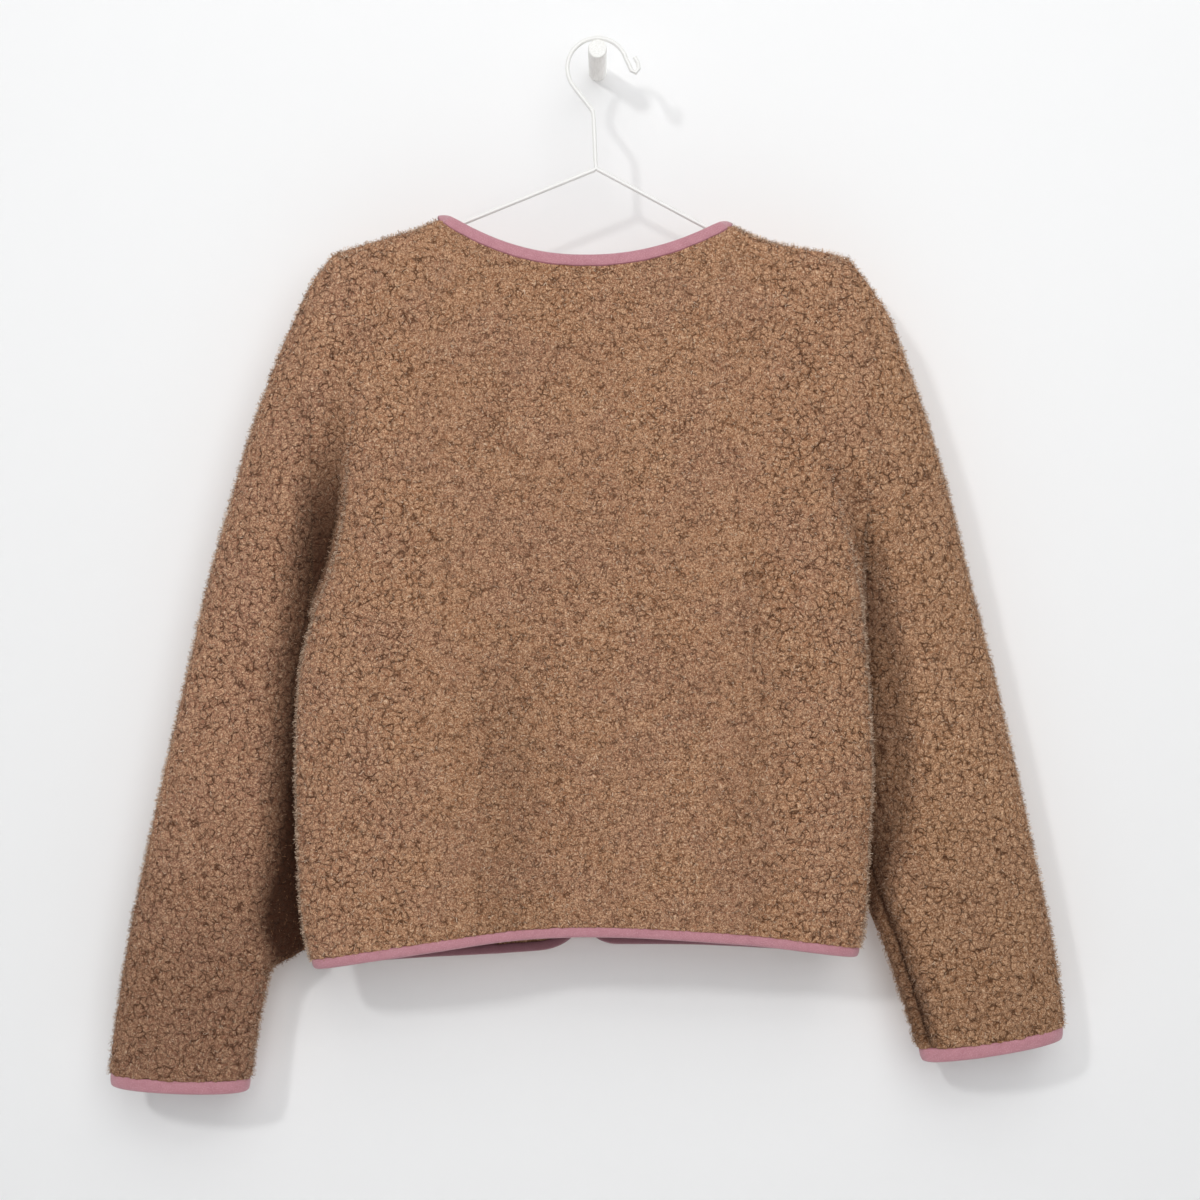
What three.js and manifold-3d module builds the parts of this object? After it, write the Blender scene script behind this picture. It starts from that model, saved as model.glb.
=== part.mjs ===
// A collarless pile-fabric jacket with bound edges, on a wire hanger that hangs on a round wall peg.
// Millimetres, +Z up. The wall is the plane y = 0 and everything hangs in front of it, towards -Y.
// The jacket's back faces -Y and its two fronts face the wall, so the wearer's left is at -X.
// The origin is the centre of the peg's flat end on the wall.

import * as THREE from "three";
import Module from "manifold-3d";
import { mergeVertices } from "three/addons/utils/BufferGeometryUtils.js";

// ---------------------------------------------------------------- driving sizes

const HANGER_Y = -60; // the plane that the wire hanger hangs in
const CLOTH = 4; // wall of the pile fabric: knitted backing and packed pile
const SEAM = 0.3; // gap between two pieces that are sewn together
const STRIP = 1.2; // wall of the binding's jersey
const PROUD = SEAM + STRIP; // how far the binding stands out past the edge it covers
const ROOM = 0.15; // least room left between the binding and the cloth where it turns a sharp bend
const BACK_ROOM = 0.05; // and between a strip's end and the back's cloth, which it only touches
const SLEEVE_GAP = 0.4; // between the sleeve's first ring and the armhole's edge
const EDGE_LEG = 6.2; // how far the binding reaches up the cloth at neck, fronts and hem
const CUFF_LEG = 9.6; // and at the cuffs, where it is wider

const SWELL_POWER = 0.9; // how square a sleeve's section is, 1 being a plain ellipse
const ARMHOLE_TILT = 4; // how much more the armhole's rim faces across than down
const NECK_CROWDING = 1.3; // how much closer the columns stand at the front neck's upper end
const NEVER_ZERO = 1e-6; // keeps the middle of a front's hem on that front's own side
const MERGE = 1e-4; // points closer than this are one point

const WIRE_RADIUS = 1.75;
const PEG_RADIUS = 7;
const PEG_LENGTH = 64;

const RIDGE_ROUND = 8; // radius of the cloth's fold over the hanger
const TENT_LENGTH = 70; // how far below the fold the back and fronts come to hang freely
const BACK_DEPTH = 27; // how far the back hangs from the hanger plane, low down
const FRONT_DEPTH = 26; // and the fronts, on the wall's side
const ARMHOLE_ROUND = 12; // height over which the armhole opens below the shoulder point
const BACK_POWER = 5; // how square the back's cross-section is at its sides

const FRONT_GAP = { top: 10, hem: 8 }; // between the two cut front edges
const FRONT_CENTRE_X = -11;
const FRONT_NECK_Z = -202; // lowest point of the front neck

const NECK = { left: -112, right: 94, leftZ: -125.4, rightZ: -129.5, lowZ: -158.2, power: 2.1 };

// Shoulder line from the neck point to the shoulder point, on the cloth's outer face.
const LEFT_RIDGE = [
  { x: -194, z: -153.5 },
  { x: -188, z: -151 },
  { x: -170, z: -146 },
  { x: -152, z: -140.5 },
  { x: -136, z: -136.5 },
  { x: NECK.left, z: NECK.leftZ },
];
const RIGHT_RIDGE = [
  { x: NECK.right, z: NECK.rightZ },
  { x: 111, z: -138.3 },
  { x: 128, z: -145 },
  { x: 151, z: -149.8 },
  { x: 178, z: -154.4 },
  { x: 186, z: -157.7 },
];
const RIDGE_SLOPE = 0.42; // of the shoulder line carried on inside the neck opening

// The body's two sides, from the shoulder point down the armhole to the underarm, and down the side
// seam to the hem. back and front are how far the armhole's two edges lie from the hanger plane,
// seam is how far the side seam lies from it towards the back, and power is how square the front is.
const LEFT_SIDE = [
  { z: -153.5, x: -194, back: 13, front: 13, seam: 5, power: 5 },
  { z: -176, x: -190, back: 15, front: 15, seam: 5, power: 5 },
  { z: -215, x: -183, back: 17, front: 16, seam: 5, power: 5 },
  { z: -256, x: -178.5, back: 16, front: 15, seam: 5, power: 5 },
  { z: -300, x: -183, back: 12, front: 12, seam: 5, power: 4 },
  { z: -350, x: -188, back: 8, front: 7, seam: 5, power: 3 },
  { z: -388, x: -196, back: 9, front: 3, seam: 5, power: 2.6 },
  { z: -425, x: -210, back: 11, front: 1, seam: 5, power: 2.2 },
  { z: -462, x: -219.5, back: 11, front: 1, seam: 6, power: 2.2 },
  { z: -525, x: -223, back: 11, front: 1, seam: 6, power: 2.2 },
  { z: -600, x: -221.5, back: 11, front: 1, seam: 6, power: 2.2 },
  { z: -650, x: -218.5, back: 11, front: 1, seam: 6, power: 2.4 },
  { z: -686.5, x: -210.5, back: 11, front: 1, seam: 6, power: 2.6 },
];
const RIGHT_SIDE = [
  { z: -157.7, x: 186, back: 13, front: 13, seam: 7, power: 5 },
  { z: -180, x: 181, back: 15, front: 15, seam: 7, power: 5 },
  { z: -221, x: 172.5, back: 18, front: 15, seam: 7, power: 5 },
  { z: -265, x: 167.5, back: 18, front: 14, seam: 7, power: 5 },
  { z: -307, x: 170.5, back: 17, front: 11, seam: 7, power: 4 },
  { z: -346, x: 179, back: 14, front: 5, seam: 7, power: 3 },
  { z: -383, x: 189, back: 13, front: 0, seam: 7, power: 2.6 },
  { z: -424, x: 195.5, back: 13, front: -1, seam: 7, power: 2.2 },
  { z: -462, x: 199.5, back: 13, front: -1, seam: 7, power: 2.2 },
  { z: -545, x: 203, back: 13, front: -1, seam: 7, power: 2.2 },
  { z: -610, x: 199.5, back: 13, front: -1, seam: 7, power: 2.2 },
  { z: -650, x: 197.5, back: 13, front: -1, seam: 7, power: 2.4 },
  { z: -677.5, x: 193, back: 13, front: -1, seam: 6, power: 2.6 },
];
const UNDERARM_ROW = 7;

// Hems: the cut edge's height at the middle, how far it drops to the side seam, and how sharply.
const HEMS = {
  back: {
    left: { middle: -659.3, drop: 27.2, power: 1.5 },
    right: { middle: -659.3, drop: 18.2, power: 1.9 },
  },
  front: {
    left: { middle: -675.5, drop: 11, power: 0.8 },
    right: { middle: -673.4, drop: 4.1, power: 2.5 },
  },
};

// The fronts' rounded lower corners, each a quarter of an ellipse.
const CORNERS = {
  left: { across: 30, up: 19 },
  right: { across: 22, up: 16 },
};

// Soft vertical folds of the hanging panels: where, how wide, how far out, and from what height down.
const BACK_FOLDS = [
  { x: -128, width: 34, out: 2.2, from: -430 },
  { x: -46, width: 42, out: -1.8, from: -500 },
  { x: 62, width: 38, out: 2.0, from: -470 },
  { x: 142, width: 26, out: -1.6, from: -540 },
];
const FRONT_FOLDS = [
  { x: -150, width: 30, out: 2.4, from: -420 },
  { x: -78, width: 30, out: -2.2, from: -360 },
  { x: 74, width: 32, out: 2.2, from: -430 },
  { x: 140, width: 30, out: -1.8, from: -380 },
];
const FOLD_FADE = 120; // height over which a fold grows to its full depth

// Sleeves: each row is one section, a flattened ring whose chord runs from the outer line (ox, oz)
// to the inner, underarm line (ix, iz). oy and iy are how far those two ends lie behind the hanger
// plane, towards the wall. back and front are the half depths, and lean shifts them outwards.
const LEFT_SLEEVE = [
  { ox: -203, oz: -163, oy: 0, ix: -212, iz: -430, iy: 3, back: 20, front: 18, lean: 0 },
  { ox: -212.5, oz: -176, oy: 2, ix: -212.5, iz: -438, iy: 10, back: 22, front: 20, lean: 0 },
  { ox: -226, oz: -203, oy: 5, ix: -212, iz: -451, iy: 15, back: 23, front: 21, lean: 0.05 },
  { ox: -241, oz: -237, oy: 8, ix: -211, iz: -470, iy: 19, back: 24, front: 22, lean: 0.1 },
  { ox: -257.5, oz: -281, oy: 11, ix: -210, iz: -497, iy: 21, back: 24, front: 22, lean: 0.15 },
  { ox: -274.5, oz: -337, oy: 13, ix: -212, iz: -530, iy: 22, back: 24, front: 22, lean: 0.2 },
  { ox: -291.5, oz: -397, oy: 14, ix: -218, iz: -566, iy: 23, back: 23, front: 21, lean: 0.22 },
  { ox: -307, oz: -463, oy: 15, ix: -226, iz: -603, iy: 23, back: 22, front: 21, lean: 0.22 },
  { ox: -323.3, oz: -533, oy: 16, ix: -235.5, iz: -641, iy: 23, back: 22, front: 21, lean: 0.2 },
  { ox: -339.3, oz: -604, oy: 16, ix: -249, iz: -683, iy: 22, back: 21, front: 20, lean: 0.15 },
  { ox: -354.5, oz: -678, oy: 17, ix: -258.5, iz: -725, iy: 20, back: 21, front: 20, lean: 0.08 },
  { ox: -367, oz: -763.5, oy: 17, ix: -265, iz: -768.5, iy: 18, back: 20.5, front: 20.5, lean: 0 },
  { ox: -367.5, oz: -779, oy: 17, ix: -266, iz: -783.5, iy: 18, back: 20.5, front: 20.5, lean: 0 },
];
const RIGHT_SLEEVE = [
  { ox: 194, oz: -167, oy: 0, ix: 197, iz: -429, iy: 3, back: 20, front: 18, lean: 0 },
  { ox: 204, oz: -180, oy: 2, ix: 196, iz: -437, iy: 10, back: 22, front: 20, lean: 0 },
  { ox: 217, oz: -200, oy: 5, ix: 194, iz: -450, iy: 16, back: 23, front: 20, lean: 0.05 },
  { ox: 230, oz: -232, oy: 8, ix: 191, iz: -468, iy: 21, back: 24, front: 20, lean: 0.1 },
  { ox: 247.5, oz: -281, oy: 11, ix: 189, iz: -494, iy: 24, back: 24, front: 20, lean: 0.15 },
  { ox: 264, oz: -337, oy: 13, ix: 188.5, iz: -526, iy: 25, back: 24, front: 20, lean: 0.2 },
  { ox: 280, oz: -400, oy: 15, ix: 191, iz: -560, iy: 25, back: 23, front: 20, lean: 0.22 },
  { ox: 296, oz: -462, oy: 16, ix: 197, iz: -596, iy: 25, back: 22, front: 20, lean: 0.22 },
  { ox: 312.3, oz: -530, oy: 17, ix: 206.5, iz: -633, iy: 24, back: 22, front: 20, lean: 0.2 },
  { ox: 328.3, oz: -603, oy: 17, ix: 221, iz: -674, iy: 22, back: 21, front: 20, lean: 0.15 },
  { ox: 342, oz: -668, oy: 17, ix: 234, iz: -714, iy: 20, back: 21, front: 20, lean: 0.08 },
  { ox: 351, oz: -729.5, oy: 17, ix: 244, iz: -746, iy: 18, back: 20.5, front: 20.5, lean: 0 },
  { ox: 351, oz: -744, oy: 17, ix: 247.5, iz: -761, iy: 18, back: 20.5, front: 20.5, lean: 0 },
];

// ---------------------------------------------------------------- sampling steps

const ARMHOLE_STEPS = 9; // from the shoulder point to the underarm
const NECK_STEPS = 9; // across the back neck
const FRONT_NECK_STEPS = 7; // from the neck point to the centre front
const SHOULDER_SHARES = [0, 0.014, 0.06, 0.18, 0.4, 0.68, 1];
const SIDE_SHARES = [0.05, 0.14, 0.27, 0.43, 0.61, 0.8, 0.962, 1];
const SIDE_PANEL_SHARE = 0.4; // part of a front's width that the shoulder's columns take at the hem

// ---------------------------------------------------------------- materials

function finish(color, roughness) {
  return new THREE.MeshStandardMaterial({ color, roughness, metalness: 0 });
}

const pile = finish(0x97735a, 0.95);
const jersey = finish(0xb9868e, 0.8);
const whiteCoat = finish(0xf1f1ef, 0.4);
const whiteWood = finish(0xf3f3f1, 0.6);

// ---------------------------------------------------------------- small helpers

const mix = THREE.MathUtils.lerp;
const clamp = THREE.MathUtils.clamp;
const point = (x, y, z) => new THREE.Vector3(x, y, z);

// A smooth curve through one column of a table, read at a value of its key column.
function column(rows, key, name) {
  const slope = (k) => {
    const a = rows[Math.max(k - 1, 0)];
    const b = rows[Math.min(k + 1, rows.length - 1)];
    return (b[name] - a[name]) / (b[key] - a[key]);
  };
  const rising = rows[rows.length - 1][key] > rows[0][key];
  return (value) => {
    let k = rows.findIndex((row) => (rising ? row[key] > value : row[key] < value)) - 1;
    if (k === -2) k = rows.length - 2;
    if (k === -1) return rows[0][name];
    const step = rows[k + 1][key] - rows[k][key];
    const t = clamp((value - rows[k][key]) / step, 0, 1);
    const start = rows[k][name] * (1 + 2 * t) * (1 - t) ** 2 + slope(k) * step * t * (1 - t) ** 2;
    const end = rows[k + 1][name] * (3 - 2 * t) * t ** 2 + slope(k + 1) * step * t ** 2 * (t - 1);
    return start + end;
  };
}

// 0 at the start of a rounded fold and 1 once past it, leaving at a right angle as a circle does.
function rounded(distance, radius) {
  const t = clamp(distance / radius, 0, 1);
  return Math.sqrt(1 - (1 - t) ** 2);
}

// ---------------------------------------------------------------- the body's form

function sideOf(rows) {
  return {
    rows,
    x: column(rows, "z", "x"),
    back: column(rows, "z", "back"),
    front: column(rows, "z", "front"),
    seam: column(rows, "z", "seam"),
    power: column(rows, "z", "power"),
    top: rows[0].z,
    underarm: rows[UNDERARM_ROW].z,
    hem: rows[rows.length - 1].z,
  };
}

const leftSide = sideOf(LEFT_SIDE);
const rightSide = sideOf(RIGHT_SIDE);
const leftRidge = column(LEFT_RIDGE, "x", "z");
const rightRidge = column(RIGHT_RIDGE, "x", "z");

// Height of the fold over the hanger, carried on inside the neck as two straight slopes.
function ridgeZ(x) {
  if (x <= NECK.left) return leftRidge(x);
  if (x >= NECK.right) return rightRidge(x);
  const up = Math.min(x - NECK.left, NECK.right - x) * RIDGE_SLOPE;
  return mix(NECK.leftZ, NECK.rightZ, (x - NECK.left) / (NECK.right - NECK.left)) + up;
}

function foldDepth(folds, x, z) {
  let depth = 0;
  for (const fold of folds) {
    const grown = THREE.MathUtils.smoothstep(fold.from - z, 0, FOLD_FADE);
    depth += fold.out * grown * Math.exp(-(((x - fold.x) / fold.width) ** 2));
  }
  return depth;
}

// How far one face's edge lies from the hanger plane, at the armhole or the side seam.
function edgeDepth(side, face, z) {
  const seam = face === "back" ? side.seam(z) : -side.seam(z);
  const open = rounded(z - side.underarm, ARMHOLE_ROUND);
  return mix(seam, side[face](z), open) * rounded(side.top - z, ARMHOLE_ROUND);
}

// How far one face of the body lies from the hanger plane.
function bodyDepth(face, x, z) {
  const below = Math.max(ridgeZ(x) - z, 0);
  const full = face === "back" ? BACK_DEPTH : FRONT_DEPTH;
  const tent = (full - RIDGE_ROUND) * (1 - Math.exp(-below / TENT_LENGTH));
  const middle = RIDGE_ROUND * rounded(below, RIDGE_ROUND) + tent;
  const left = leftSide.x(z);
  const right = rightSide.x(z);
  const across = clamp((2 * x - left - right) / (right - left), -1, 1);
  const side = across < 0 ? leftSide : rightSide;
  const edge = edgeDepth(side, face, z);
  const power = face === "back" ? BACK_POWER : side.power(z);
  const rise = Math.sqrt(1 - Math.abs(across) ** power);
  const folds = face === "back" ? BACK_FOLDS : FRONT_FOLDS;
  return edge + (middle + foldDepth(folds, x, z) - edge) * rise;
}

function bodyPoint(face, x, z) {
  const depth = bodyDepth(face, x, z);
  return point(x, face === "back" ? HANGER_Y - depth : HANGER_Y + depth, z);
}

// The share of the armhole's height at each step, closer together at its two ends.
function armholeShare(step) {
  return (1 - Math.cos((Math.PI * step) / ARMHOLE_STEPS)) / 2;
}

// Heights of the panels' rows where they meet one side.
function sideHeights(side) {
  const heights = [];
  for (let step = 0; step <= ARMHOLE_STEPS; step += 1) {
    heights.push(mix(side.top, side.underarm, armholeShare(step)));
  }
  for (const share of SIDE_SHARES) heights.push(mix(side.underarm, side.hem, share));
  return heights;
}

const leftHeights = sideHeights(leftSide);
const rightHeights = sideHeights(rightSide);

// Which way is into the cloth at the armhole's edge. Body and sleeve share it, so their rims match.
function armholeInward(face, step) {
  const turn = (Math.PI * step) / ARMHOLE_STEPS;
  const inward = face === "back" ? 1 : -1;
  return point(0, ARMHOLE_TILT * Math.sin(turn) * inward, -Math.cos(turn)).normalize();
}

function armholePoint(side, face, step) {
  const z = mix(side.top, side.underarm, armholeShare(step));
  return bodyPoint(face, side.x(z), z);
}

// ---------------------------------------------------------------- grids of cloth

// Directions into the cloth at each point of a grid, on the side that the hint gives.
function inwardOf(grid, closed, hint) {
  return grid.map((row, r) =>
    row.map((at, c) => {
      const last = row.length - 1;
      const before = closed ? row[(c + last) % row.length] : row[Math.max(c - 1, 0)];
      const after = closed ? row[(c + 1) % row.length] : row[Math.min(c + 1, last)];
      const above = grid[Math.max(r - 1, 0)][c];
      const under = grid[Math.min(r + 1, grid.length - 1)][c];
      const normal = after.clone().sub(before).cross(under.clone().sub(above)).normalize();
      return normal.dot(hint(at, r, c)) < 0 ? normal.negate() : normal;
    }),
  );
}

// A closed wall between a grid of outer points and the same grid moved into the cloth. room makes
// it thicker on both faces, for cutting a neighbour clear of it.
function wallGeometry({ grid, inward }, closed, room = 0) {
  const rows = grid.length;
  const columns = grid[0].length;
  const layer = (depth) =>
    grid.map((row, r) => row.map((at, c) => at.clone().addScaledVector(inward[r][c], depth)));
  const positions = [layer(-room), layer(CLOTH + room)].flat(2).flatMap((at) => [at.x, at.y, at.z]);
  const index = [];
  const quad = (a, b, c, d) => index.push(a, b, c, a, c, d);
  const id = (face, r, c) => (face * rows + r) * columns + (c % columns);
  const spans = closed ? columns : columns - 1;
  for (let c = 0; c < spans; c += 1) {
    for (let r = 0; r < rows - 1; r += 1) {
      quad(id(0, r, c), id(0, r + 1, c), id(0, r + 1, c + 1), id(0, r, c + 1));
      quad(id(1, r, c), id(1, r, c + 1), id(1, r + 1, c + 1), id(1, r + 1, c));
    }
    quad(id(0, 0, c), id(0, 0, c + 1), id(1, 0, c + 1), id(1, 0, c));
    quad(id(0, rows - 1, c), id(1, rows - 1, c), id(1, rows - 1, c + 1), id(0, rows - 1, c + 1));
  }
  for (let r = 0; r < rows - 1 && !closed; r += 1) {
    quad(id(0, r, 0), id(1, r, 0), id(1, r + 1, 0), id(0, r + 1, 0));
    quad(id(0, r, spans), id(0, r + 1, spans), id(1, r + 1, spans), id(1, r, spans));
  }
  return facingOut(positions, index);
}

// A geometry from points and triangles, turned inside out if its volume comes out negative.
function facingOut(positions, index) {
  const corner = (k) => point(...positions.slice(3 * index[k], 3 * index[k] + 3));
  let volume = 0;
  for (let k = 0; k < index.length; k += 3) {
    volume += corner(k).dot(corner(k + 1).cross(corner(k + 2)));
  }
  const geometry = new THREE.BufferGeometry();
  geometry.setAttribute("position", new THREE.Float32BufferAttribute(positions, 3));
  geometry.setIndex(volume < 0 ? index.reverse() : index);
  return geometry;
}

// A section carried along stations. Each station has its point and two directions in the section's
// plane, and the section's corners are [along first, along second]. A ring closes on itself.
function sweepGeometry(section, stations, ring) {
  const corners = section.length;
  const positions = stations.flatMap(({ at, first, second }) =>
    section.flatMap(([a, b]) => {
      const corner = at.clone().addScaledVector(first, a).addScaledVector(second, b);
      return [corner.x, corner.y, corner.z];
    }),
  );
  const index = [];
  const count = stations.length;
  for (let s = 0; s < (ring ? count : count - 1); s += 1) {
    for (let k = 0; k < corners; k += 1) {
      const a = s * corners + k;
      const b = s * corners + ((k + 1) % corners);
      const c = ((s + 1) % count) * corners + ((k + 1) % corners);
      const d = ((s + 1) % count) * corners + k;
      index.push(a, b, c, a, c, d);
    }
  }
  if (!ring) {
    const outline = section.map(([a, b]) => new THREE.Vector2(a, b));
    const forward = THREE.ShapeUtils.area(outline) > 0;
    const end = (count - 1) * corners;
    for (const [a, b, c] of THREE.ShapeUtils.triangulateShape(outline, [])) {
      const same = THREE.ShapeUtils.area([outline[a], outline[b], outline[c]]) > 0 === forward;
      const [p, q] = same ? [b, c] : [c, b];
      index.push(a, q, p, end + a, end + p, end + q);
    }
  }
  return facingOut(positions, index);
}

// ---------------------------------------------------------------- back and fronts

const acrossLeft = (share) => mix(leftSide.rows[0].x, NECK.left, share);
const acrossRight = (share) => mix(rightSide.rows[0].x, NECK.right, share);

function backNeckZ(x) {
  const across = (2 * x - NECK.left - NECK.right) / (NECK.right - NECK.left);
  const top = across < 0 ? NECK.leftZ : NECK.rightZ;
  return mix(NECK.lowZ, top, Math.abs(across) ** NECK.power);
}

function hemZ(face, across) {
  const hem = HEMS[face][across < 0 ? "left" : "right"];
  return hem.middle - hem.drop * Math.abs(across) ** hem.power;
}

// Top edge of the back: left shoulder, back neck, right shoulder.
function backTop() {
  const left = SHOULDER_SHARES.map(acrossLeft);
  const right = SHOULDER_SHARES.map(acrossRight).reverse();
  const neck = [];
  for (let k = 1; k < NECK_STEPS; k += 1) {
    neck.push(mix(NECK.left, NECK.right, (1 - Math.cos((Math.PI * k) / NECK_STEPS)) / 2));
  }
  return [
    ...left.map((x) => ({ x, z: ridgeZ(x) })),
    ...neck.map((x) => ({ x, z: backNeckZ(x) })),
    ...right.map((x) => ({ x, z: ridgeZ(x) })),
  ];
}

// The share of a panel's height that each row lies below its top, at one side.
const rowShares = (heights) => heights.map((z) => (heights[0] - z) / (heights[0] - heights.at(-1)));
const leftShares = rowShares(leftHeights);
const rightShares = rowShares(rightHeights);

function backGrid() {
  const top = backTop();
  const first = top[0].x;
  const last = top.at(-1).x;
  return leftHeights.map((leftZ, r) =>
    top.map(({ x: topX, z: topZ }) => {
      const share = (topX - first) / (last - first);
      const x = r === 0 ? topX : mix(leftSide.x(leftZ), rightSide.x(rightHeights[r]), share);
      const down = mix(leftShares[r], rightShares[r], share);
      const z = mix(topZ, hemZ("back", 2 * share - 1), down);
      return bodyPoint("back", x, z);
    }),
  );
}

// One front, its columns running from its side to the front edge. sign is -1 for the left front.
function frontGrid(sign) {
  const side = sign < 0 ? leftSide : rightSide;
  const heights = sign < 0 ? leftHeights : rightHeights;
  const shares = sign < 0 ? leftShares : rightShares;
  const neckX = sign < 0 ? NECK.left : NECK.right;
  const neckZ = sign < 0 ? NECK.leftZ : NECK.rightZ;
  const topX = FRONT_CENTRE_X + (sign * FRONT_GAP.top) / 2;
  const hemX = FRONT_CENTRE_X + (sign * FRONT_GAP.hem) / 2;
  const top = SHOULDER_SHARES.map((share) => {
    const x = mix(side.rows[0].x, neckX, share);
    return { x, z: ridgeZ(x), low: share * SIDE_PANEL_SHARE };
  });
  for (let k = 1; k <= FRONT_NECK_STEPS; k += 1) {
    const turn = (Math.PI / 2) * (k / FRONT_NECK_STEPS) ** NECK_CROWDING;
    const low = mix(SIDE_PANEL_SHARE, 1, Math.sin((Math.PI * k) / FRONT_NECK_STEPS / 2));
    const x = mix(topX, neckX, Math.cos(turn));
    top.push({ x, z: mix(neckZ, FRONT_NECK_Z, Math.sin(turn)), low });
  }
  const corner = CORNERS[sign < 0 ? "left" : "right"];
  const sideHemX = side.rows.at(-1).x;
  const middle = (leftSide.rows.at(-1).x + rightSide.rows.at(-1).x) / 2;
  return heights.map((sideZ, r) =>
    top.map((start) => {
      const down = shares[r];
      const high = (start.x - side.rows[0].x) / (topX - side.rows[0].x);
      const share = mix(high, start.low, down);
      const edgeX = mix(topX, hemX, down);
      const x = r === 0 ? start.x : mix(side.x(sideZ), edgeX, share);
      const foot = mix(sideHemX, hemX, start.low);
      const across = (sign * (foot - middle)) / Math.abs(sideHemX - middle);
      const inside = Math.max(1 - Math.abs(hemX - foot) / corner.across, 0);
      const rise = corner.up * (1 - Math.sqrt(1 - inside ** 2));
      const z = mix(start.z, hemZ("front", sign * Math.max(across, NEVER_ZERO)) + rise, down);
      return bodyPoint("front", x, z);
    }),
  );
}

// A body panel: its grid, and the directions into its cloth, set at the seams so that rims match.
function bodyPanel(face, grid, sides) {
  const into = face === "back" ? 1 : -1;
  const inward = inwardOf(grid, false, () => point(0, into, 0));
  const top = grid[0];
  const seamShift = (-into * SEAM) / 2;
  for (const { column: c, sign, shoulder } of sides) {
    for (let r = 0; r < grid.length; r += 1) {
      inward[r][c] = r <= ARMHOLE_STEPS ? armholeInward(face, r) : point(-sign, 0, 0);
    }
    // Along the shoulder the cloth's rim faces straight down from the fold. Its first point keeps
    // the armhole's own direction.
    for (let s = 1; s < shoulder.length; s += 1) {
      const before = top[shoulder[s - 1]];
      const after = top[shoulder[Math.min(s + 1, shoulder.length - 1)]];
      const along = after.clone().sub(before);
      const down = point(along.z, 0, -along.x).normalize();
      inward[0][shoulder[s]] = down.z > 0 ? down.negate() : down;
    }
    for (let r = ARMHOLE_STEPS; r < grid.length; r += 1) grid[r][c].y += seamShift;
    for (const k of shoulder) grid[0][k].y += seamShift;
  }
  return { grid, inward };
}

const lastShoulder = SHOULDER_SHARES.length - 1;
const shoulderColumns = SHOULDER_SHARES.map((_, k) => k);
const backColumns = 2 * lastShoulder + NECK_STEPS;

const back = bodyPanel("back", backGrid(), [
  { column: 0, sign: -1, shoulder: shoulderColumns },
  { column: backColumns, sign: 1, shoulder: shoulderColumns.map((k) => backColumns - k) },
]);
const frontLeft = bodyPanel("front", frontGrid(-1), [
  { column: 0, sign: -1, shoulder: shoulderColumns },
]);
const frontRight = bodyPanel("front", frontGrid(1), [
  { column: 0, sign: 1, shoulder: shoulderColumns },
]);

// ---------------------------------------------------------------- sleeves

function sleeve(side, sign, rows) {
  const count = 2 * ARMHOLE_STEPS;
  const outward = SLEEVE_GAP * sign;
  const first = [];
  for (let k = 0; k < count; k += 1) {
    const onBack = k <= ARMHOLE_STEPS;
    const at = armholePoint(side, onBack ? "back" : "front", onBack ? k : count - k);
    first.push(at.add(point(outward, 0, 0)));
  }
  const grid = [first];
  for (const row of rows) {
    grid.push(
      first.map((_, k) => {
        const turn = (2 * Math.PI * k) / count;
        const share = (1 - Math.cos(turn)) / 2;
        const swell = Math.abs(Math.sin(turn)) ** SWELL_POWER * (1 + row.lean * Math.cos(turn));
        const depth = k <= ARMHOLE_STEPS ? -row.back * swell : row.front * swell;
        const y = HANGER_Y + mix(row.oy, row.iy, share) + depth;
        return point(mix(row.ox, row.ix, share), y, mix(row.oz, row.iz, share));
      }),
    );
  }
  const middles = grid.map((ring) => {
    const sum = ring.reduce((total, at) => total.add(at), point(0, 0, 0));
    return sum.divideScalar(count);
  });
  const inward = inwardOf(grid, true, (at, r) => middles[r].clone().sub(at));
  for (let k = 0; k < count; k += 1) {
    const onBack = k <= ARMHOLE_STEPS;
    inward[0][k] = armholeInward(onBack ? "back" : "front", onBack ? k : count - k);
  }
  return { grid, inward };
}

const sleeveLeft = sleeve(leftSide, -1, LEFT_SLEEVE);
const sleeveRight = sleeve(rightSide, 1, RIGHT_SLEEVE);

// ---------------------------------------------------------------- bindings

// The folded strip's section over an edge. The first number runs through the cloth from its outer
// face, the second along the cloth past its cut edge.
function stripSection(leg, room = 0) {
  const outer = -PROUD - room;
  const inner = CLOTH + PROUD + room;
  const slot = SEAM - room;
  return [
    [outer, -leg - room],
    [outer, -STRIP / 2],
    [outer + STRIP, PROUD + room],
    [inner - STRIP, PROUD + room],
    [inner, -STRIP / 2],
    [inner, -leg - room],
    [CLOTH + slot, -leg - room],
    [CLOTH + slot, slot],
    [-slot, slot],
    [-slot, -leg - room],
  ];
}

// Stations along a cut edge. Each edge point has its place, the direction into the cloth and a
// neighbour inside the panel, which tells the way out past the edge.
function edgeStations(edge, ring) {
  return edge.map(({ at, inward, inside, upright }, k) => {
    const count = edge.length;
    const before = ring ? edge[(k + count - 1) % count] : edge[Math.max(k - 1, 0)];
    const after = ring ? edge[(k + 1) % count] : edge[Math.min(k + 1, count - 1)];
    const along = after.at.clone().sub(before.at);
    const out = along.cross(inward).normalize();
    if (out.dot(at.clone().sub(inside)) < 0) out.negate();
    return { at, first: inward, second: upright ? point(0, 0, -1) : out };
  });
}

const edgePoint = (panel, r, c, insideR, insideC, upright = false) => ({
  at: panel.grid[r][c],
  inward: panel.inward[r][c],
  inside: panel.grid[insideR][insideC],
  upright,
});

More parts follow.
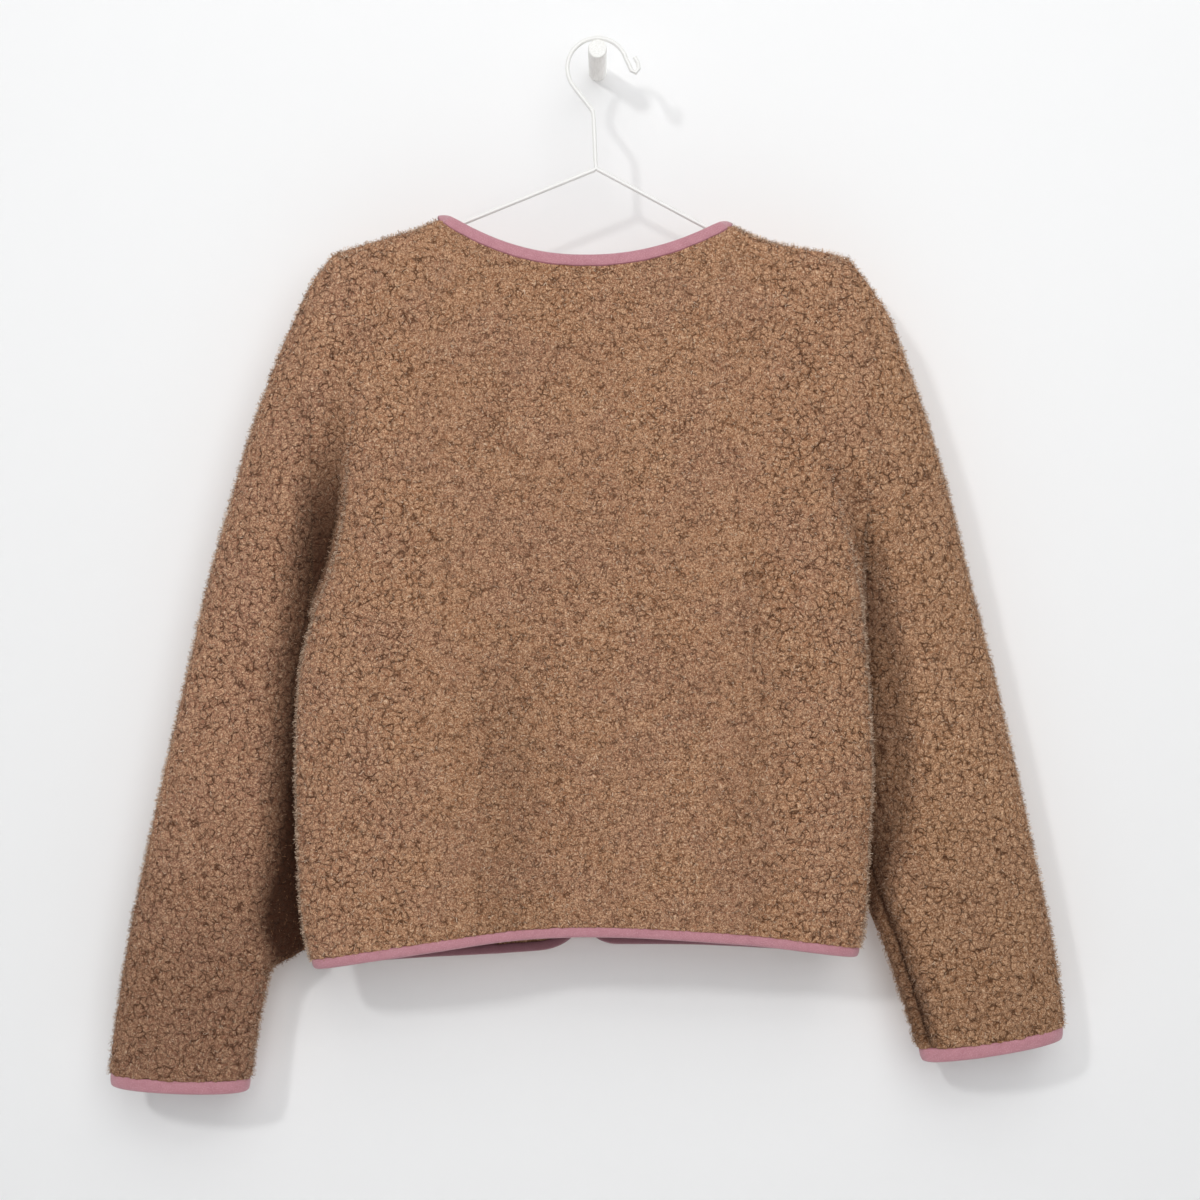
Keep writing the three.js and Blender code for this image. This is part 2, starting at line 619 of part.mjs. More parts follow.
// The part of a run of edge points that lies past a distance from its start.
function trimmed(edge, start) {
  let left = start;
  for (let k = 0; k < edge.length - 1; k += 1) {
    const step = edge[k].at.distanceTo(edge[k + 1].at);
    if (step > left) {
      const t = left / step;
      const cut = {
        at: edge[k].at.clone().lerp(edge[k + 1].at, t),
        inward: edge[k].inward.clone().lerp(edge[k + 1].inward, t).normalize(),
        inside: edge[k].inside.clone().lerp(edge[k + 1].inside, t),
      };
      return [cut, ...edge.slice(k + 1)];
    }
    left -= step;
  }
  return edge;
}

function neckEdge() {
  const frontEnd = lastShoulder + FRONT_NECK_STEPS;
  const edge = [];
  for (let c = frontEnd; c > lastShoulder; c -= 1) edge.push(edgePoint(frontLeft, 0, c, 1, c));
  for (let c = lastShoulder; c <= lastShoulder + NECK_STEPS; c += 1) {
    edge.push(edgePoint(back, 0, c, 1, c));
  }
  for (let c = lastShoulder + 1; c <= frontEnd; c += 1) edge.push(edgePoint(frontRight, 0, c, 1, c));
  return edge;
}

function frontEdge(panel) {
  const rows = panel.grid.length - 1;
  const columns = panel.grid[0].length - 1;
  const edge = [];
  for (let r = 0; r < rows; r += 1) edge.push(edgePoint(panel, r, columns, r, columns - 1));
  for (let c = columns; c >= 0; c -= 1) edge.push(edgePoint(panel, rows, c, rows - 1, c, c === 0));
  return trimmed(edge, EDGE_LEG + SEAM);
}

// A hem's edge. seams says that its two ends are side seams, where the strip ends upright.
function hemEdge(panel, seams) {
  const row = panel.grid.length - 1;
  const last = panel.grid[row].length - 1;
  return panel.grid[row].map((_, c) =>
    edgePoint(panel, row, c, row - 1, c, seams && (c === 0 || c === last)),
  );
}

// ---------------------------------------------------------------- hanger and peg

const HOOK = {
  radius: 22.6,
  // The free end, which curls back into a small closed eye.
  tip: [
    [27.8, -5.4],
    [30.2, -9.5],
    [31, -13.8],
    [28.6, -17],
    [25.4, -15.2],
    [23.4, -10.5],
  ],
  drop: { x: -18, z: -27.2 }, // where the hook's arc runs straight down to the stem
  // The short stem between the hook and the arms, a little bent.
  stem: [
    [-5.6, -43.1],
    [-3.4, -46.5],
    [-2.9, -50.5],
    [-1.4, -84.8],
  ],
  neck: { x: -1.1, z: -88.8 }, // where the two arms meet the stem
};
const ARM = { length: 190, leftSlope: 0.409, rightSlope: 0.535, endRadius: 8 };
const WIRE_SIDES = 8;
const BAR_OVERLAP = 0.5; // how far the two halves of the lower bar run into each other
const ARM_START = { x: -2, z: -1.4 }; // from the neck to the left arm's first point

// A round wire through points that lie in the hanger plane, given as [x, z].
function wireGeometry(points, room = 0) {
  const radius = WIRE_RADIUS + room;
  const section = [];
  for (let k = 0; k < WIRE_SIDES; k += 1) {
    const turn = (2 * Math.PI * (k + 0.5)) / WIRE_SIDES;
    section.push([radius * Math.cos(turn), radius * Math.sin(turn)]);
  }
  const stations = points.map(([x, z], k) => {
    const before = points[Math.max(k - 1, 0)];
    const after = points[Math.min(k + 1, points.length - 1)];
    const along = point(after[0] - before[0], 0, after[1] - before[1]).normalize();
    return { at: point(x, HANGER_Y, z), first: point(along.z, 0, -along.x), second: point(0, 1, 0) };
  });
  return sweepGeometry(section, stations, false);
}

// Points of an arc in the hanger plane, angles in degrees from +X towards +Z.
function arc(cx, cz, radius, from, to, steps) {
  const points = [];
  for (let k = 0; k <= steps; k += 1) {
    const turn = THREE.MathUtils.degToRad(mix(from, to, k / steps));
    points.push([cx + radius * Math.cos(turn), cz + radius * Math.sin(turn)]);
  }
  return points;
}

function hookPoints() {
  const top = PEG_RADIUS + SEAM + WIRE_RADIUS;
  const centreZ = top - HOOK.radius;
  return [
    ...HOOK.tip,
    ...arc(0, centreZ, HOOK.radius, 16, 210, 20),
    [HOOK.drop.x, HOOK.drop.z],
    ...HOOK.stem,
    [HOOK.neck.x, HOOK.neck.z],
  ];
}

// One arm from the stem out to its end, round the bend and back along half of the lower bar.
function armPoints(sign, slope) {
  const angle = THREE.MathUtils.radToDeg(Math.atan(slope));
  const endX = HOOK.neck.x + sign * ARM.length;
  const endZ = HOOK.neck.z - slope * ARM.length;
  const tilt = THREE.MathUtils.degToRad(90 - angle);
  const cx = endX - sign * ARM.endRadius * Math.cos(tilt);
  const cz = endZ - ARM.endRadius * Math.sin(tilt);
  const barTilt = THREE.MathUtils.radToDeg(Math.atan((ARM.rightSlope - ARM.leftSlope) / 2));
  const bend = arc(cx, cz, ARM.endRadius, 90 - angle, -90 - sign * barTilt, 8);
  return bend.map(([x, z]) => [cx + sign * (x - cx), z]);
}

function hangerGeometry(wasm) {
  const left = armPoints(-1, ARM.leftSlope);
  const right = armPoints(1, ARM.rightSlope);
  const [lx, lz] = left.at(-1);
  const [rx, rz] = right.at(-1);
  const middle = (past) => [mix(lx, rx, 0.5) + past, mix(lz, rz, 0.5 + past / (rx - lx))];
  const start = [HOOK.neck.x, HOOK.neck.z];
  const turned = [HOOK.neck.x + ARM_START.x, HOOK.neck.z + ARM_START.z];
  const pieces = [
    wireGeometry([...hookPoints(), turned, ...left, middle(BAR_OVERLAP)]),
    wireGeometry([start, ...right, middle(-BAR_OVERLAP)]),
  ];
  return joined(wasm, pieces);
}

function solidOf(wasm, geometry) {
  const bare = geometry.clone();
  bare.deleteAttribute("normal");
  bare.deleteAttribute("uv");
  const merged = mergeVertices(bare, MERGE);
  const vertProperties = new Float32Array(merged.attributes.position.array);
  const triVerts = new Uint32Array(merged.index.array);
  return new wasm.Manifold(new wasm.Mesh({ numProp: 3, vertProperties, triVerts }));
}

function geometryOf(solid) {
  const mesh = solid.getMesh();
  const geometry = new THREE.BufferGeometry();
  geometry.setAttribute("position", new THREE.BufferAttribute(mesh.vertProperties, 3));
  geometry.setIndex(new THREE.BufferAttribute(mesh.triVerts, 1));
  return geometry;
}

function joined(wasm, geometries) {
  const [first, ...others] = geometries.map((geometry) => solidOf(wasm, geometry));
  return geometryOf(others.reduce((total, solid) => total.add(solid), first));
}

// A piece of cloth trimmed clear of its neighbours, without the crumbs that the trimming leaves.
function trimmedClear(wasm, geometry, neighbours) {
  const cut = neighbours.reduce(
    (solid, neighbour) => solid.subtract(solidOf(wasm, neighbour)),
    solidOf(wasm, geometry),
  );
  const bodies = cut.decompose().sort((a, b) => b.volume() - a.volume());
  return geometryOf(bodies[0]);
}

// ---------------------------------------------------------------- the object

const wasm = await Module();
wasm.setup();

const jacket = new THREE.Group();

function piece(name, geometry, material) {
  const mesh = new THREE.Mesh(geometry, material.clone());
  mesh.name = name;
  jacket.add(mesh);
  return mesh;
}

// The two arms with room round them, which the neck's binding is trimmed clear of.
const aroundArms = [
  { sign: -1, slope: ARM.leftSlope },
  { sign: 1, slope: ARM.rightSlope },
].map(({ sign, slope }) => {
  const start = [HOOK.neck.x, HOOK.neck.z];
  return wireGeometry([start, armPoints(sign, slope)[0]], SEAM);
});

const strips = [
  { name: "binding_neck", leg: EDGE_LEG, edge: neckEdge(), ring: false },
  { name: "binding_hem_back", leg: EDGE_LEG, edge: hemEdge(back, true), ring: false },
  { name: "binding_front_left", leg: EDGE_LEG, edge: frontEdge(frontLeft), ring: false },
  { name: "binding_front_right", leg: EDGE_LEG, edge: frontEdge(frontRight), ring: false },
  { name: "binding_cuff_left", leg: CUFF_LEG, edge: hemEdge(sleeveLeft, false), ring: true },
  { name: "binding_cuff_right", leg: CUFF_LEG, edge: hemEdge(sleeveRight, false), ring: true },
];
const stripGeometry = ({ leg, edge, ring }, room) =>
  sweepGeometry(stripSection(leg, room), edgeStations(edge, ring), ring);
const aroundStrips = strips.map((strip) => stripGeometry(strip, ROOM));

const panels = [
  { name: "back", cloth: back },
  { name: "front_left", cloth: frontLeft },
  { name: "front_right", cloth: frontRight },
];
const aroundPanels = panels.map(({ cloth }) => wallGeometry(cloth, false, SEAM));
for (const { name, cloth } of panels) {
  piece(name, trimmedClear(wasm, wallGeometry(cloth, false), aroundStrips), pile);
}
for (const [name, cloth] of [["sleeve_left", sleeveLeft], ["sleeve_right", sleeveRight]]) {
  const near = [...aroundPanels, ...aroundStrips];
  piece(name, trimmedClear(wasm, wallGeometry(cloth, true), near), pile);
}
const nearStrips = [...aroundArms, wallGeometry(back, false, BACK_ROOM)];
for (const strip of strips) {
  piece(strip.name, trimmedClear(wasm, stripGeometry(strip, 0), nearStrips), jersey);
}

piece("hanger", hangerGeometry(wasm), whiteCoat);

const peg = piece(
  "wall_peg",
  new THREE.CylinderGeometry(PEG_RADIUS, PEG_RADIUS, PEG_LENGTH, 32),
  whiteWood,
);
peg.position.y = -PEG_LENGTH / 2;

export default jacket;
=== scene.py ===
# %% [markdown]
# # A pile jacket on a wire hanger
#
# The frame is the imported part: a jacket with its back turned to us, on a bent wire hanger that hangs
# from a round peg in the wall. It is loaded first, and never moved. Each soft piece is then made again
# with the detail that the plain part leaves out: curly pile, loose fibres and rolled bindings. The hanger
# keeps its own mesh and only gets a better finish.

# %% Load the frame
import math

import bpy
import numpy as np
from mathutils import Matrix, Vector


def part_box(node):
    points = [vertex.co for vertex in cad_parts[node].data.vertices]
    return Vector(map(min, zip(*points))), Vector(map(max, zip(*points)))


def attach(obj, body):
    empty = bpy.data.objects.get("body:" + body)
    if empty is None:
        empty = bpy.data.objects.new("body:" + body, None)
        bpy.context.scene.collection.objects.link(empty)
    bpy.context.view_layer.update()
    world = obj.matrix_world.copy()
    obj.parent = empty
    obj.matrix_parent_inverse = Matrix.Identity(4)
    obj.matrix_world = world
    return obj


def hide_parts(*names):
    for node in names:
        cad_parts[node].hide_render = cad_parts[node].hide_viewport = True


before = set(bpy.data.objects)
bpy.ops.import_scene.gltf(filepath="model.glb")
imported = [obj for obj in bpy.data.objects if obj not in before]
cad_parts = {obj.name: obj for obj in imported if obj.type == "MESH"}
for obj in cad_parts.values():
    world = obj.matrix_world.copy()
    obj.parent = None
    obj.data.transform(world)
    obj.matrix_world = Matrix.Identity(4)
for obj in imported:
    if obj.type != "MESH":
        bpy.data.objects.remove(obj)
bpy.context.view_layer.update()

# %% [markdown]
# ## The sizes that the cloth is cut and hung by
#
# The tables down to SLEEVES say the same as the part's own source, in millimetres, but for DRAPE. Sheets
# of cloth are made from them again, because the part's facets are 20 mm wide and the pile needs a point
# every 2 mm. Each side of the body has a row for each height: where its edge lies, how far the back's and
# the front's armhole stand open, how far the side seam lies from the hanger's plane, and how square the
# front is.
#
# Some sizes are only in the looks. NECK_SHOWN and HEM_SHOWN are how far the binding shows there, a little
# more than the part's. DRAPE is three more soft folds of the back, two of them with painted shade. VALLEYS,
# TUCK and CREASE are how each sleeve sinks, is tucked behind the body and is creased, and how much painted
# shade the pile gets there. SLEEVE_SHADE is how much painted shade a sleeve gets towards its cuff.

# %% Sizes
MM = 0.001
HANGER_Y = -60.0
CLOTH = 4.0
EDGE_LEG = 6.2
CUFF_LEG = 9.6
NECK_SHOWN = 7.9
HEM_SHOWN = 7.2
RIDGE_ROUND = 8.0
TENT_LENGTH = 70.0
BACK_DEPTH = 27.0
FRONT_DEPTH = 26.0
ARMHOLE_ROUND = 12.0
BACK_POWER = 5.0
FRONT_GAP = {"top": 10.0, "hem": 8.0}
FRONT_CENTRE_X = -11.0
FRONT_NECK_Z = -202.0
NECK = {"left": -112.0, "right": 94.0, "left_z": -125.4, "right_z": -129.5, "low_z": -158.2, "power": 2.1}
RIDGE_SLOPE = 0.42

RIDGES = {
    "left": {
        "x": [-194, -188, -170, -152, -136, -112],
        "z": [-153.5, -151, -146, -140.5, -136.5, -125.4],
    },
    "right": {
        "x": [94, 111, 128, 151, 178, 186],
        "z": [-129.5, -138.3, -145, -149.8, -154.4, -157.7],
    },
}

SIDES = {
    "left": {
        "z": [-153.5, -176, -215, -256, -300, -350, -388, -425, -462, -525, -600, -650, -686.5],
        "x": [-194, -190, -183, -178.5, -183, -188, -196, -210, -219.5, -223, -221.5, -218.5, -210.5],
        "back": [13, 15, 17, 16, 12, 8, 9, 11, 11, 11, 11, 11, 11],
        "front": [13, 15, 16, 15, 12, 7, 3, 1, 1, 1, 1, 1, 1],
        "seam": [5, 5, 5, 5, 5, 5, 5, 5, 6, 6, 6, 6, 6],
        "power": [5, 5, 5, 5, 4, 3, 2.6, 2.2, 2.2, 2.2, 2.2, 2.4, 2.6],
    },
    "right": {
        "z": [-157.7, -180, -221, -265, -307, -346, -383, -424, -462, -545, -610, -650, -677.5],
        "x": [186, 181, 172.5, 167.5, 170.5, 179, 189, 195.5, 199.5, 203, 199.5, 197.5, 193],
        "back": [13, 15, 18, 18, 17, 14, 13, 13, 13, 13, 13, 13, 13],
        "front": [13, 15, 15, 14, 11, 5, 0, -1, -1, -1, -1, -1, -1],
        "seam": [7, 7, 7, 7, 7, 7, 7, 7, 7, 7, 7, 7, 6],
        "power": [5, 5, 5, 5, 4, 3, 2.6, 2.2, 2.2, 2.2, 2.2, 2.4, 2.6],
    },
}
UNDERARM_ROW = 7

HEMS = {
    ("back", "left"): {"middle": -659.3, "drop": 27.2, "power": 1.5},
    ("back", "right"): {"middle": -659.3, "drop": 18.2, "power": 1.9},
    ("front", "left"): {"middle": -675.5, "drop": 11.0, "power": 0.8},
    ("front", "right"): {"middle": -673.4, "drop": 4.1, "power": 2.5},
}
CORNERS = {"left": {"across": 30.0, "up": 19.0}, "right": {"across": 22.0, "up": 16.0}}

# dark is how much painted shade a fold gets.
DRAPE = {
    "x": [-66, -8, 118],
    "width": [27, 25, 18],
    "out": [-3.2, 1.8, -2.4],
    "from": [-400, -400, -330],
    "dark": [0.17, 0.0, 0.1],
}

FOLD_FADE = 120.0
FOLDS = {
    "back": {"x": [-128, -46, 62, 142], "width": [34, 42, 38, 26], "out": [2.2, -1.8, 2.0, -1.6],
             "from": [-430, -500, -470, -540]},
    "front": {"x": [-150, -78, 74, 140], "width": [30, 30, 32, 30], "out": [2.4, -2.2, 2.2, -1.8],
              "from": [-420, -360, -430, -380]},
}

SLEEVES = {
    "left": {
        "ox": [-203, -212.5, -226, -241, -257.5, -274.5, -291.5, -307, -323.3, -339.3, -354.5, -367, -367.5],
        "oz": [-163, -176, -203, -237, -281, -337, -397, -463, -533, -604, -678, -763.5, -779],
        "oy": [0, 2, 5, 8, 11, 13, 14, 15, 16, 16, 17, 17, 17],
        "ix": [-212, -212.5, -212, -211, -210, -212, -218, -226, -235.5, -249, -258.5, -265, -266],
        "iz": [-430, -438, -451, -470, -497, -530, -566, -603, -641, -683, -725, -768.5, -783.5],
        "iy": [3, 10, 15, 19, 21, 22, 23, 23, 23, 22, 20, 18, 18],
        "back": [20, 22, 23, 24, 24, 24, 23, 22, 22, 21, 21, 20.5, 20.5],
        "front": [18, 20, 21, 22, 22, 22, 21, 21, 21, 20, 20, 20.5, 20.5],
        "lean": [0, 0, 0.05, 0.1, 0.15, 0.2, 0.22, 0.22, 0.2, 0.15, 0.08, 0, 0],
    },
    "right": {
        "ox": [194, 204, 217, 230, 247.5, 264, 280, 296, 312.3, 328.3, 342, 351, 351],
        "oz": [-167, -180, -200, -232, -281, -337, -400, -462, -530, -603, -668, -729.5, -744],
        "oy": [0, 2, 5, 8, 11, 13, 15, 16, 17, 17, 17, 17, 17],
        "ix": [197, 196, 194, 191, 189, 188.5, 191, 197, 206.5, 221, 234, 244, 247.5],
        "iz": [-429, -437, -450, -468, -494, -526, -560, -596, -633, -674, -714, -746, -761],
        "iy": [3, 10, 16, 21, 24, 25, 25, 25, 24, 22, 20, 18, 18],
        "back": [20, 22, 23, 24, 24, 24, 23, 22, 22, 21, 21, 20.5, 20.5],
        "front": [18, 20, 20, 20, 20, 20, 20, 20, 20, 20, 20, 20.5, 20.5],
        "lean": [0, 0, 0.05, 0.1, 0.15, 0.2, 0.22, 0.22, 0.2, 0.15, 0.08, 0, 0],
    },
}
SIGN = {"left": -1.0, "right": 1.0}

# dark is how much painted shade the valley beside the body gets.
VALLEYS = {
    "left": {
        "z": [-235, -287, -337, -367, -397, -427, -487, -547, -607, -667, -790],
        "deep": [0, 5, 12, 14, 13, 10, 8, 8, 8, 7, 0],
        "flat": [8, 14, 18, 18, 14, 6, 5, 7, 11, 20, 10],
        "fade": [18, 26, 30, 32, 32, 34, 30, 30, 30, 30, 20],
        "dark": [0, 0.25, 0.78, 0.92, 0.96, 0.86, 0.88, 0.95, 1.0, 1.05, 0],
    },
    "right": {
        "z": [-260, -300, -337, -367, -397, -427, -457, -517, -577, -627, -677, -760],
        "deep": [0, 2, 6, 9, 11, 11, 10, 9, 8, 8, 6, 0],
        "flat": [8, 8, 10, 12, 14, 16, 20, 22, 22, 12, 10, 8],
        "fade": [16, 18, 22, 24, 24, 22, 22, 22, 22, 22, 20, 16],
        "dark": [0, 0.08, 0.22, 0.38, 0.5, 0.5, 0.46, 0.46, 0.56, 0.75, 0.7, 0],
    },
}

TUCK = {"left": {"from": -550, "to": -674, "by": 22.0}}
# dark is how much painted shade the crease gets.
CREASE = {
    "right": {"from": -585, "to": -738, "inside": 7.5, "width": 4.2, "deep": 6.5, "dark": 0.85},
}
# Painted shade towards each cuff.
SLEEVE_SHADE = {"left": 0.3, "right": 0.12}

# %% [markdown]
# ## Smooth curves through a table
#
# A table has few rows, and cloth has no corners between them. Each column is read as a curve that passes
# through every row with an even slope. The same curve also carries a whole ring of points along a
# sleeve, so it works on numbers and on points alike.

# %% Curves


def through(keys, values, at):
    """Values at some keys, on a smooth curve through the rows of a table."""
    keys = np.asarray(keys, float)
    values = np.asarray(values, float)
    if keys[0] > keys[-1]:
        keys, values = keys[::-1], values[::-1]
    ahead = np.minimum(np.arange(len(keys)) + 1, len(keys) - 1)
    behind = np.maximum(np.arange(len(keys)) - 1, 0)
    spread = (keys[ahead] - keys[behind]).reshape(-1, *[1] * (values.ndim - 1))
    slope = (values[ahead] - values[behind]) / spread
    at = np.asarray(at, float)
    k = np.clip(np.searchsorted(keys, at, side="right") - 1, 0, len(keys) - 2)
    step = keys[k + 1] - keys[k]
    t = np.clip((at - keys[k]) / step, 0, 1)
    shape = [*at.shape, *[1] * (values.ndim - 1)]
    t, step = t.reshape(shape), step.reshape(shape)
    start = values[k] * (1 + 2 * t) * (1 - t) ** 2 + slope[k] * step * t * (1 - t) ** 2
    end = values[k + 1] * (3 - 2 * t) * t**2 + slope[k + 1] * step * t**2 * (t - 1)
    return start + end


def rounded(distance, radius):
    """0 where a rounded fold starts and 1 once past it."""
    t = np.clip(distance / radius, 0, 1)
    return np.sqrt(1 - (1 - t) ** 2)


def smooth(value, low, high):
    t = np.clip((value - low) / (high - low), 0, 1)
    return t * t * (3 - 2 * t)


def mix(a, b, share):
    return a + (b - a) * share


def lengths_along(points):
    """How far each point of a line is from its start."""
    return np.concatenate([[0], np.cumsum(np.linalg.norm(np.diff(points, axis=0), axis=1))])


# %% [markdown]
# ## The body's form
#
# The cloth hangs from a fold over the hanger, like a tent. How far it stands from the hanger's plane
# depends on how far it is below the fold, and it comes in towards the two sides. Back and fronts are one
# function of where we are across and down, so any grid of points can be laid on it.

# %% Body form


def side_at(side, name, z):
    return through(SIDES[side]["z"], SIDES[side][name], z)


def ridge_z(x):
    left = through(RIDGES["left"]["x"], RIDGES["left"]["z"], x)
    right = through(RIDGES["right"]["x"], RIDGES["right"]["z"], x)
    share = (x - NECK["left"]) / (NECK["right"] - NECK["left"])
    up = np.minimum(x - NECK["left"], NECK["right"] - x) * RIDGE_SLOPE
    inside = mix(NECK["left_z"], NECK["right_z"], share) + up
    return np.where(x <= NECK["left"], left, np.where(x >= NECK["right"], right, inside))


def edge_depth(side, face, z):
    table = SIDES[side]
    seam = side_at(side, "seam", z) * (1 if face == "back" else -1)
    opened = rounded(z - table["z"][UNDERARM_ROW], ARMHOLE_ROUND)
    return mix(seam, side_at(side, face, z), opened) * rounded(table["z"][0] - z, ARMHOLE_ROUND)


def with_folds(total, table, what, x, z):
    """Some values, with those of a table's upright folds added."""
    for place, width, value, start in zip(table["x"], table["width"], table[what], table["from"]):
        total = total + value * smooth(start - z, 0, FOLD_FADE) * np.exp(-(((x - place) / width) ** 2))
    return total


def drape_at(x, z, what):
    """The back's softest folds: how far they stand out, or how much painted shade they get."""
    return with_folds(np.zeros(np.broadcast(x, z).shape), DRAPE, what, x, z)


def body_depth(face, x, z):
    below = np.maximum(ridge_z(x) - z, 0)
    full = BACK_DEPTH if face == "back" else FRONT_DEPTH
    middle = RIDGE_ROUND * rounded(below, RIDGE_ROUND)
    middle = middle + (full - RIDGE_ROUND) * (1 - np.exp(-below / TENT_LENGTH))
    middle = with_folds(middle, FOLDS[face], "out", x, z)
    if face == "back":
        middle = middle + drape_at(x, z, "out")
    left, right = side_at("left", "x", z), side_at("right", "x", z)
    across = np.clip((2 * x - left - right) / (right - left), -1, 1)
    edge = np.where(across < 0, edge_depth("left", face, z), edge_depth("right", face, z))
    power = np.where(across < 0, side_at("left", "power", z), side_at("right", "power", z))
    rise = np.sqrt(1 - np.abs(across) ** (BACK_POWER if face == "back" else power))
    return edge + (middle - edge) * rise


def body_points(face, x, z):
    depth = body_depth(face, x, z)
    y = HANGER_Y - depth if face == "back" else HANGER_Y + depth
    return np.stack([x, y, z], -1)


def hem_z(face, across):
    left, right = HEMS[face, "left"], HEMS[face, "right"]
    across = np.asarray(across, float)
    return np.where(
        across < 0,
        left["middle"] - left["drop"] * np.abs(across) ** left["power"],
        right["middle"] - right["drop"] * np.abs(across) ** right["power"],
    )


# %% [markdown]
# ## Grids of cloth
#
# A panel is a grid of rows and columns. The spacing is even, except at a fold or a side, where the cloth
# turns quickly and the first few steps are finer. The number of steps is kept a multiple of three,
# because the inner face of the cloth has no pile and needs only every third point.

# %% Spacing


def steps(length, pitch, fine_start=0.0, fine_end=0.0, fine=5):
    """Shares from 0 to 1 along a length, finer near the ends that need it."""
    quarter = np.linspace(0, math.pi / 2, fine + 1)[:-1]
    first = fine_start * (1 - np.cos(quarter)) if fine_start else np.zeros(0)
    last = length - fine_end * (1 - np.cos(quarter[::-1])) if fine_end else np.zeros(0)
    count = math.ceil((length - fine_start - fine_end) / pitch)
    count += -(count + len(first) + len(last)) % 3
    middle = np.linspace(fine_start, length - fine_end, count + 1)
    return np.concatenate([first, middle, last]) / length


def normals_of(grid, closed):
    """Directions out of a grid of points, on the side that its rows and columns give."""
    if closed:
        across = np.roll(grid, -1, 1) - np.roll(grid, 1, 1)
    else:
        across = np.gradient(grid, axis=1)
    normal = np.cross(across, np.gradient(grid, axis=0))
    return normal / np.maximum(np.linalg.norm(normal, axis=-1, keepdims=True), 1e-9)


def distance_to(points, line):
    """How far each point lies from the nearest point of a line, in runs that fit in memory."""
    flat = points.reshape(-1, 3)
    out = np.empty(len(flat))
    for k in range(0, len(flat), 4000):
        run = flat[k : k + 4000, None, :] - line[None, :, :]
        out[k : k + 4000] = np.sqrt((run**2).sum(-1).min(1))
    return out.reshape(points.shape[:-1])


# %% [markdown]
# ## Back and fronts
#
# The back's grid runs from the left shoulder point to the right one, with the neck curve in the middle of
# its top row. A front's grid runs from its side to its front edge. Its last row turns up round the
# front's lower corner, so the corner is part of the cut and not trimmed afterwards.

# %% Panels
BACK_PITCH = 1.62
FRONT_PITCH = 2.1
FINE_SIDE = 5
FINE_FOLD = 10
NECK_CURVE_LONGER = 1.15
SHOULDER_SHARE = 0.4


def side_heights(side, down):
    table = SIDES[side]["z"]
    return mix(table[0], table[-1], down)


def back_grid():
    left, right = SIDES["left"]["x"][0], SIDES["right"]["x"][0]
    spans = [
        (left, NECK["left"], steps(NECK["left"] - left, BACK_PITCH, fine_start=FINE_SIDE)),
        (NECK["left"], NECK["right"], steps(NECK["right"] - NECK["left"], BACK_PITCH)),
        (NECK["right"], right, steps(right - NECK["right"], BACK_PITCH, fine_end=FINE_SIDE)),
    ]
    top_x = np.concatenate([mix(a, b, s)[(0 if k == 0 else 1) :] for k, (a, b, s) in enumerate(spans)])
    across = (2 * top_x - NECK["left"] - NECK["right"]) / (NECK["right"] - NECK["left"])
    point_z = np.where(across < 0, NECK["left_z"], NECK["right_z"])
    neck_z = mix(NECK["low_z"], point_z, np.abs(np.clip(across, -1, 1)) ** NECK["power"])
    top_z = np.where(np.abs(across) >= 1, ridge_z(top_x), neck_z)
    share = (top_x - left) / (right - left)
    drop = SIDES["left"]["z"][0] - SIDES["left"]["z"][-1]
    down = steps(drop, BACK_PITCH, fine_start=FINE_FOLD)[:, None]
    x = mix(
        side_at("left", "x", side_heights("left", down)),
        side_at("right", "x", side_heights("right", down)),
        share[None, :],
    )
    z = mix(top_z[None, :], hem_z("back", 2 * share - 1)[None, :], down)
    return body_points("back", x, z), np.abs(across) >= 1


def front_grid(side):
    sign = SIGN[side]
    side_x = SIDES[side]["x"]
    neck_x, neck_z = NECK[side], NECK[side + "_z"]
    top_x = FRONT_CENTRE_X + sign * FRONT_GAP["top"] / 2
    hem_x = FRONT_CENTRE_X + sign * FRONT_GAP["hem"] / 2
    shoulder = steps(abs(side_x[0] - neck_x), FRONT_PITCH, fine_start=FINE_SIDE)
    round_neck = steps(abs(neck_x - top_x) * NECK_CURVE_LONGER, FRONT_PITCH)[1:]
    turn = round_neck * math.pi / 2
    start_x = np.concatenate([mix(side_x[0], neck_x, shoulder), mix(top_x, neck_x, np.cos(turn))])
    start_z = np.concatenate(
        [ridge_z(mix(side_x[0], neck_x, shoulder)), mix(neck_z, FRONT_NECK_Z, np.sin(turn))]
    )
    low = np.concatenate([shoulder * SHOULDER_SHARE, mix(SHOULDER_SHARE, 1.0, round_neck)])
    drop = SIDES[side]["z"][0] - SIDES[side]["z"][-1]
    down = steps(drop, FRONT_PITCH, fine_start=FINE_FOLD)[:, None]
    high = (start_x - side_x[0]) / (top_x - side_x[0])
    share = mix(high[None, :], low[None, :], down)
    x = mix(side_at(side, "x", side_heights(side, down)), mix(top_x, hem_x, down), share)
    middle = (SIDES["left"]["x"][-1] + SIDES["right"]["x"][-1]) / 2
    foot = mix(side_x[-1], hem_x, low)
    across = np.maximum(sign * (foot - middle) / abs(side_x[-1] - middle), 1e-6)
    corner = CORNERS[side]
    inside = np.maximum(1 - np.abs(hem_x - foot) / corner["across"], 0)
    rise = corner["up"] * (1 - np.sqrt(1 - inside**2))
    z = mix(start_z[None, :], (hem_z("front", sign * across) + rise)[None, :], down)
    return body_points("front", x, z), np.arange(len(start_x)) < len(shoulder)
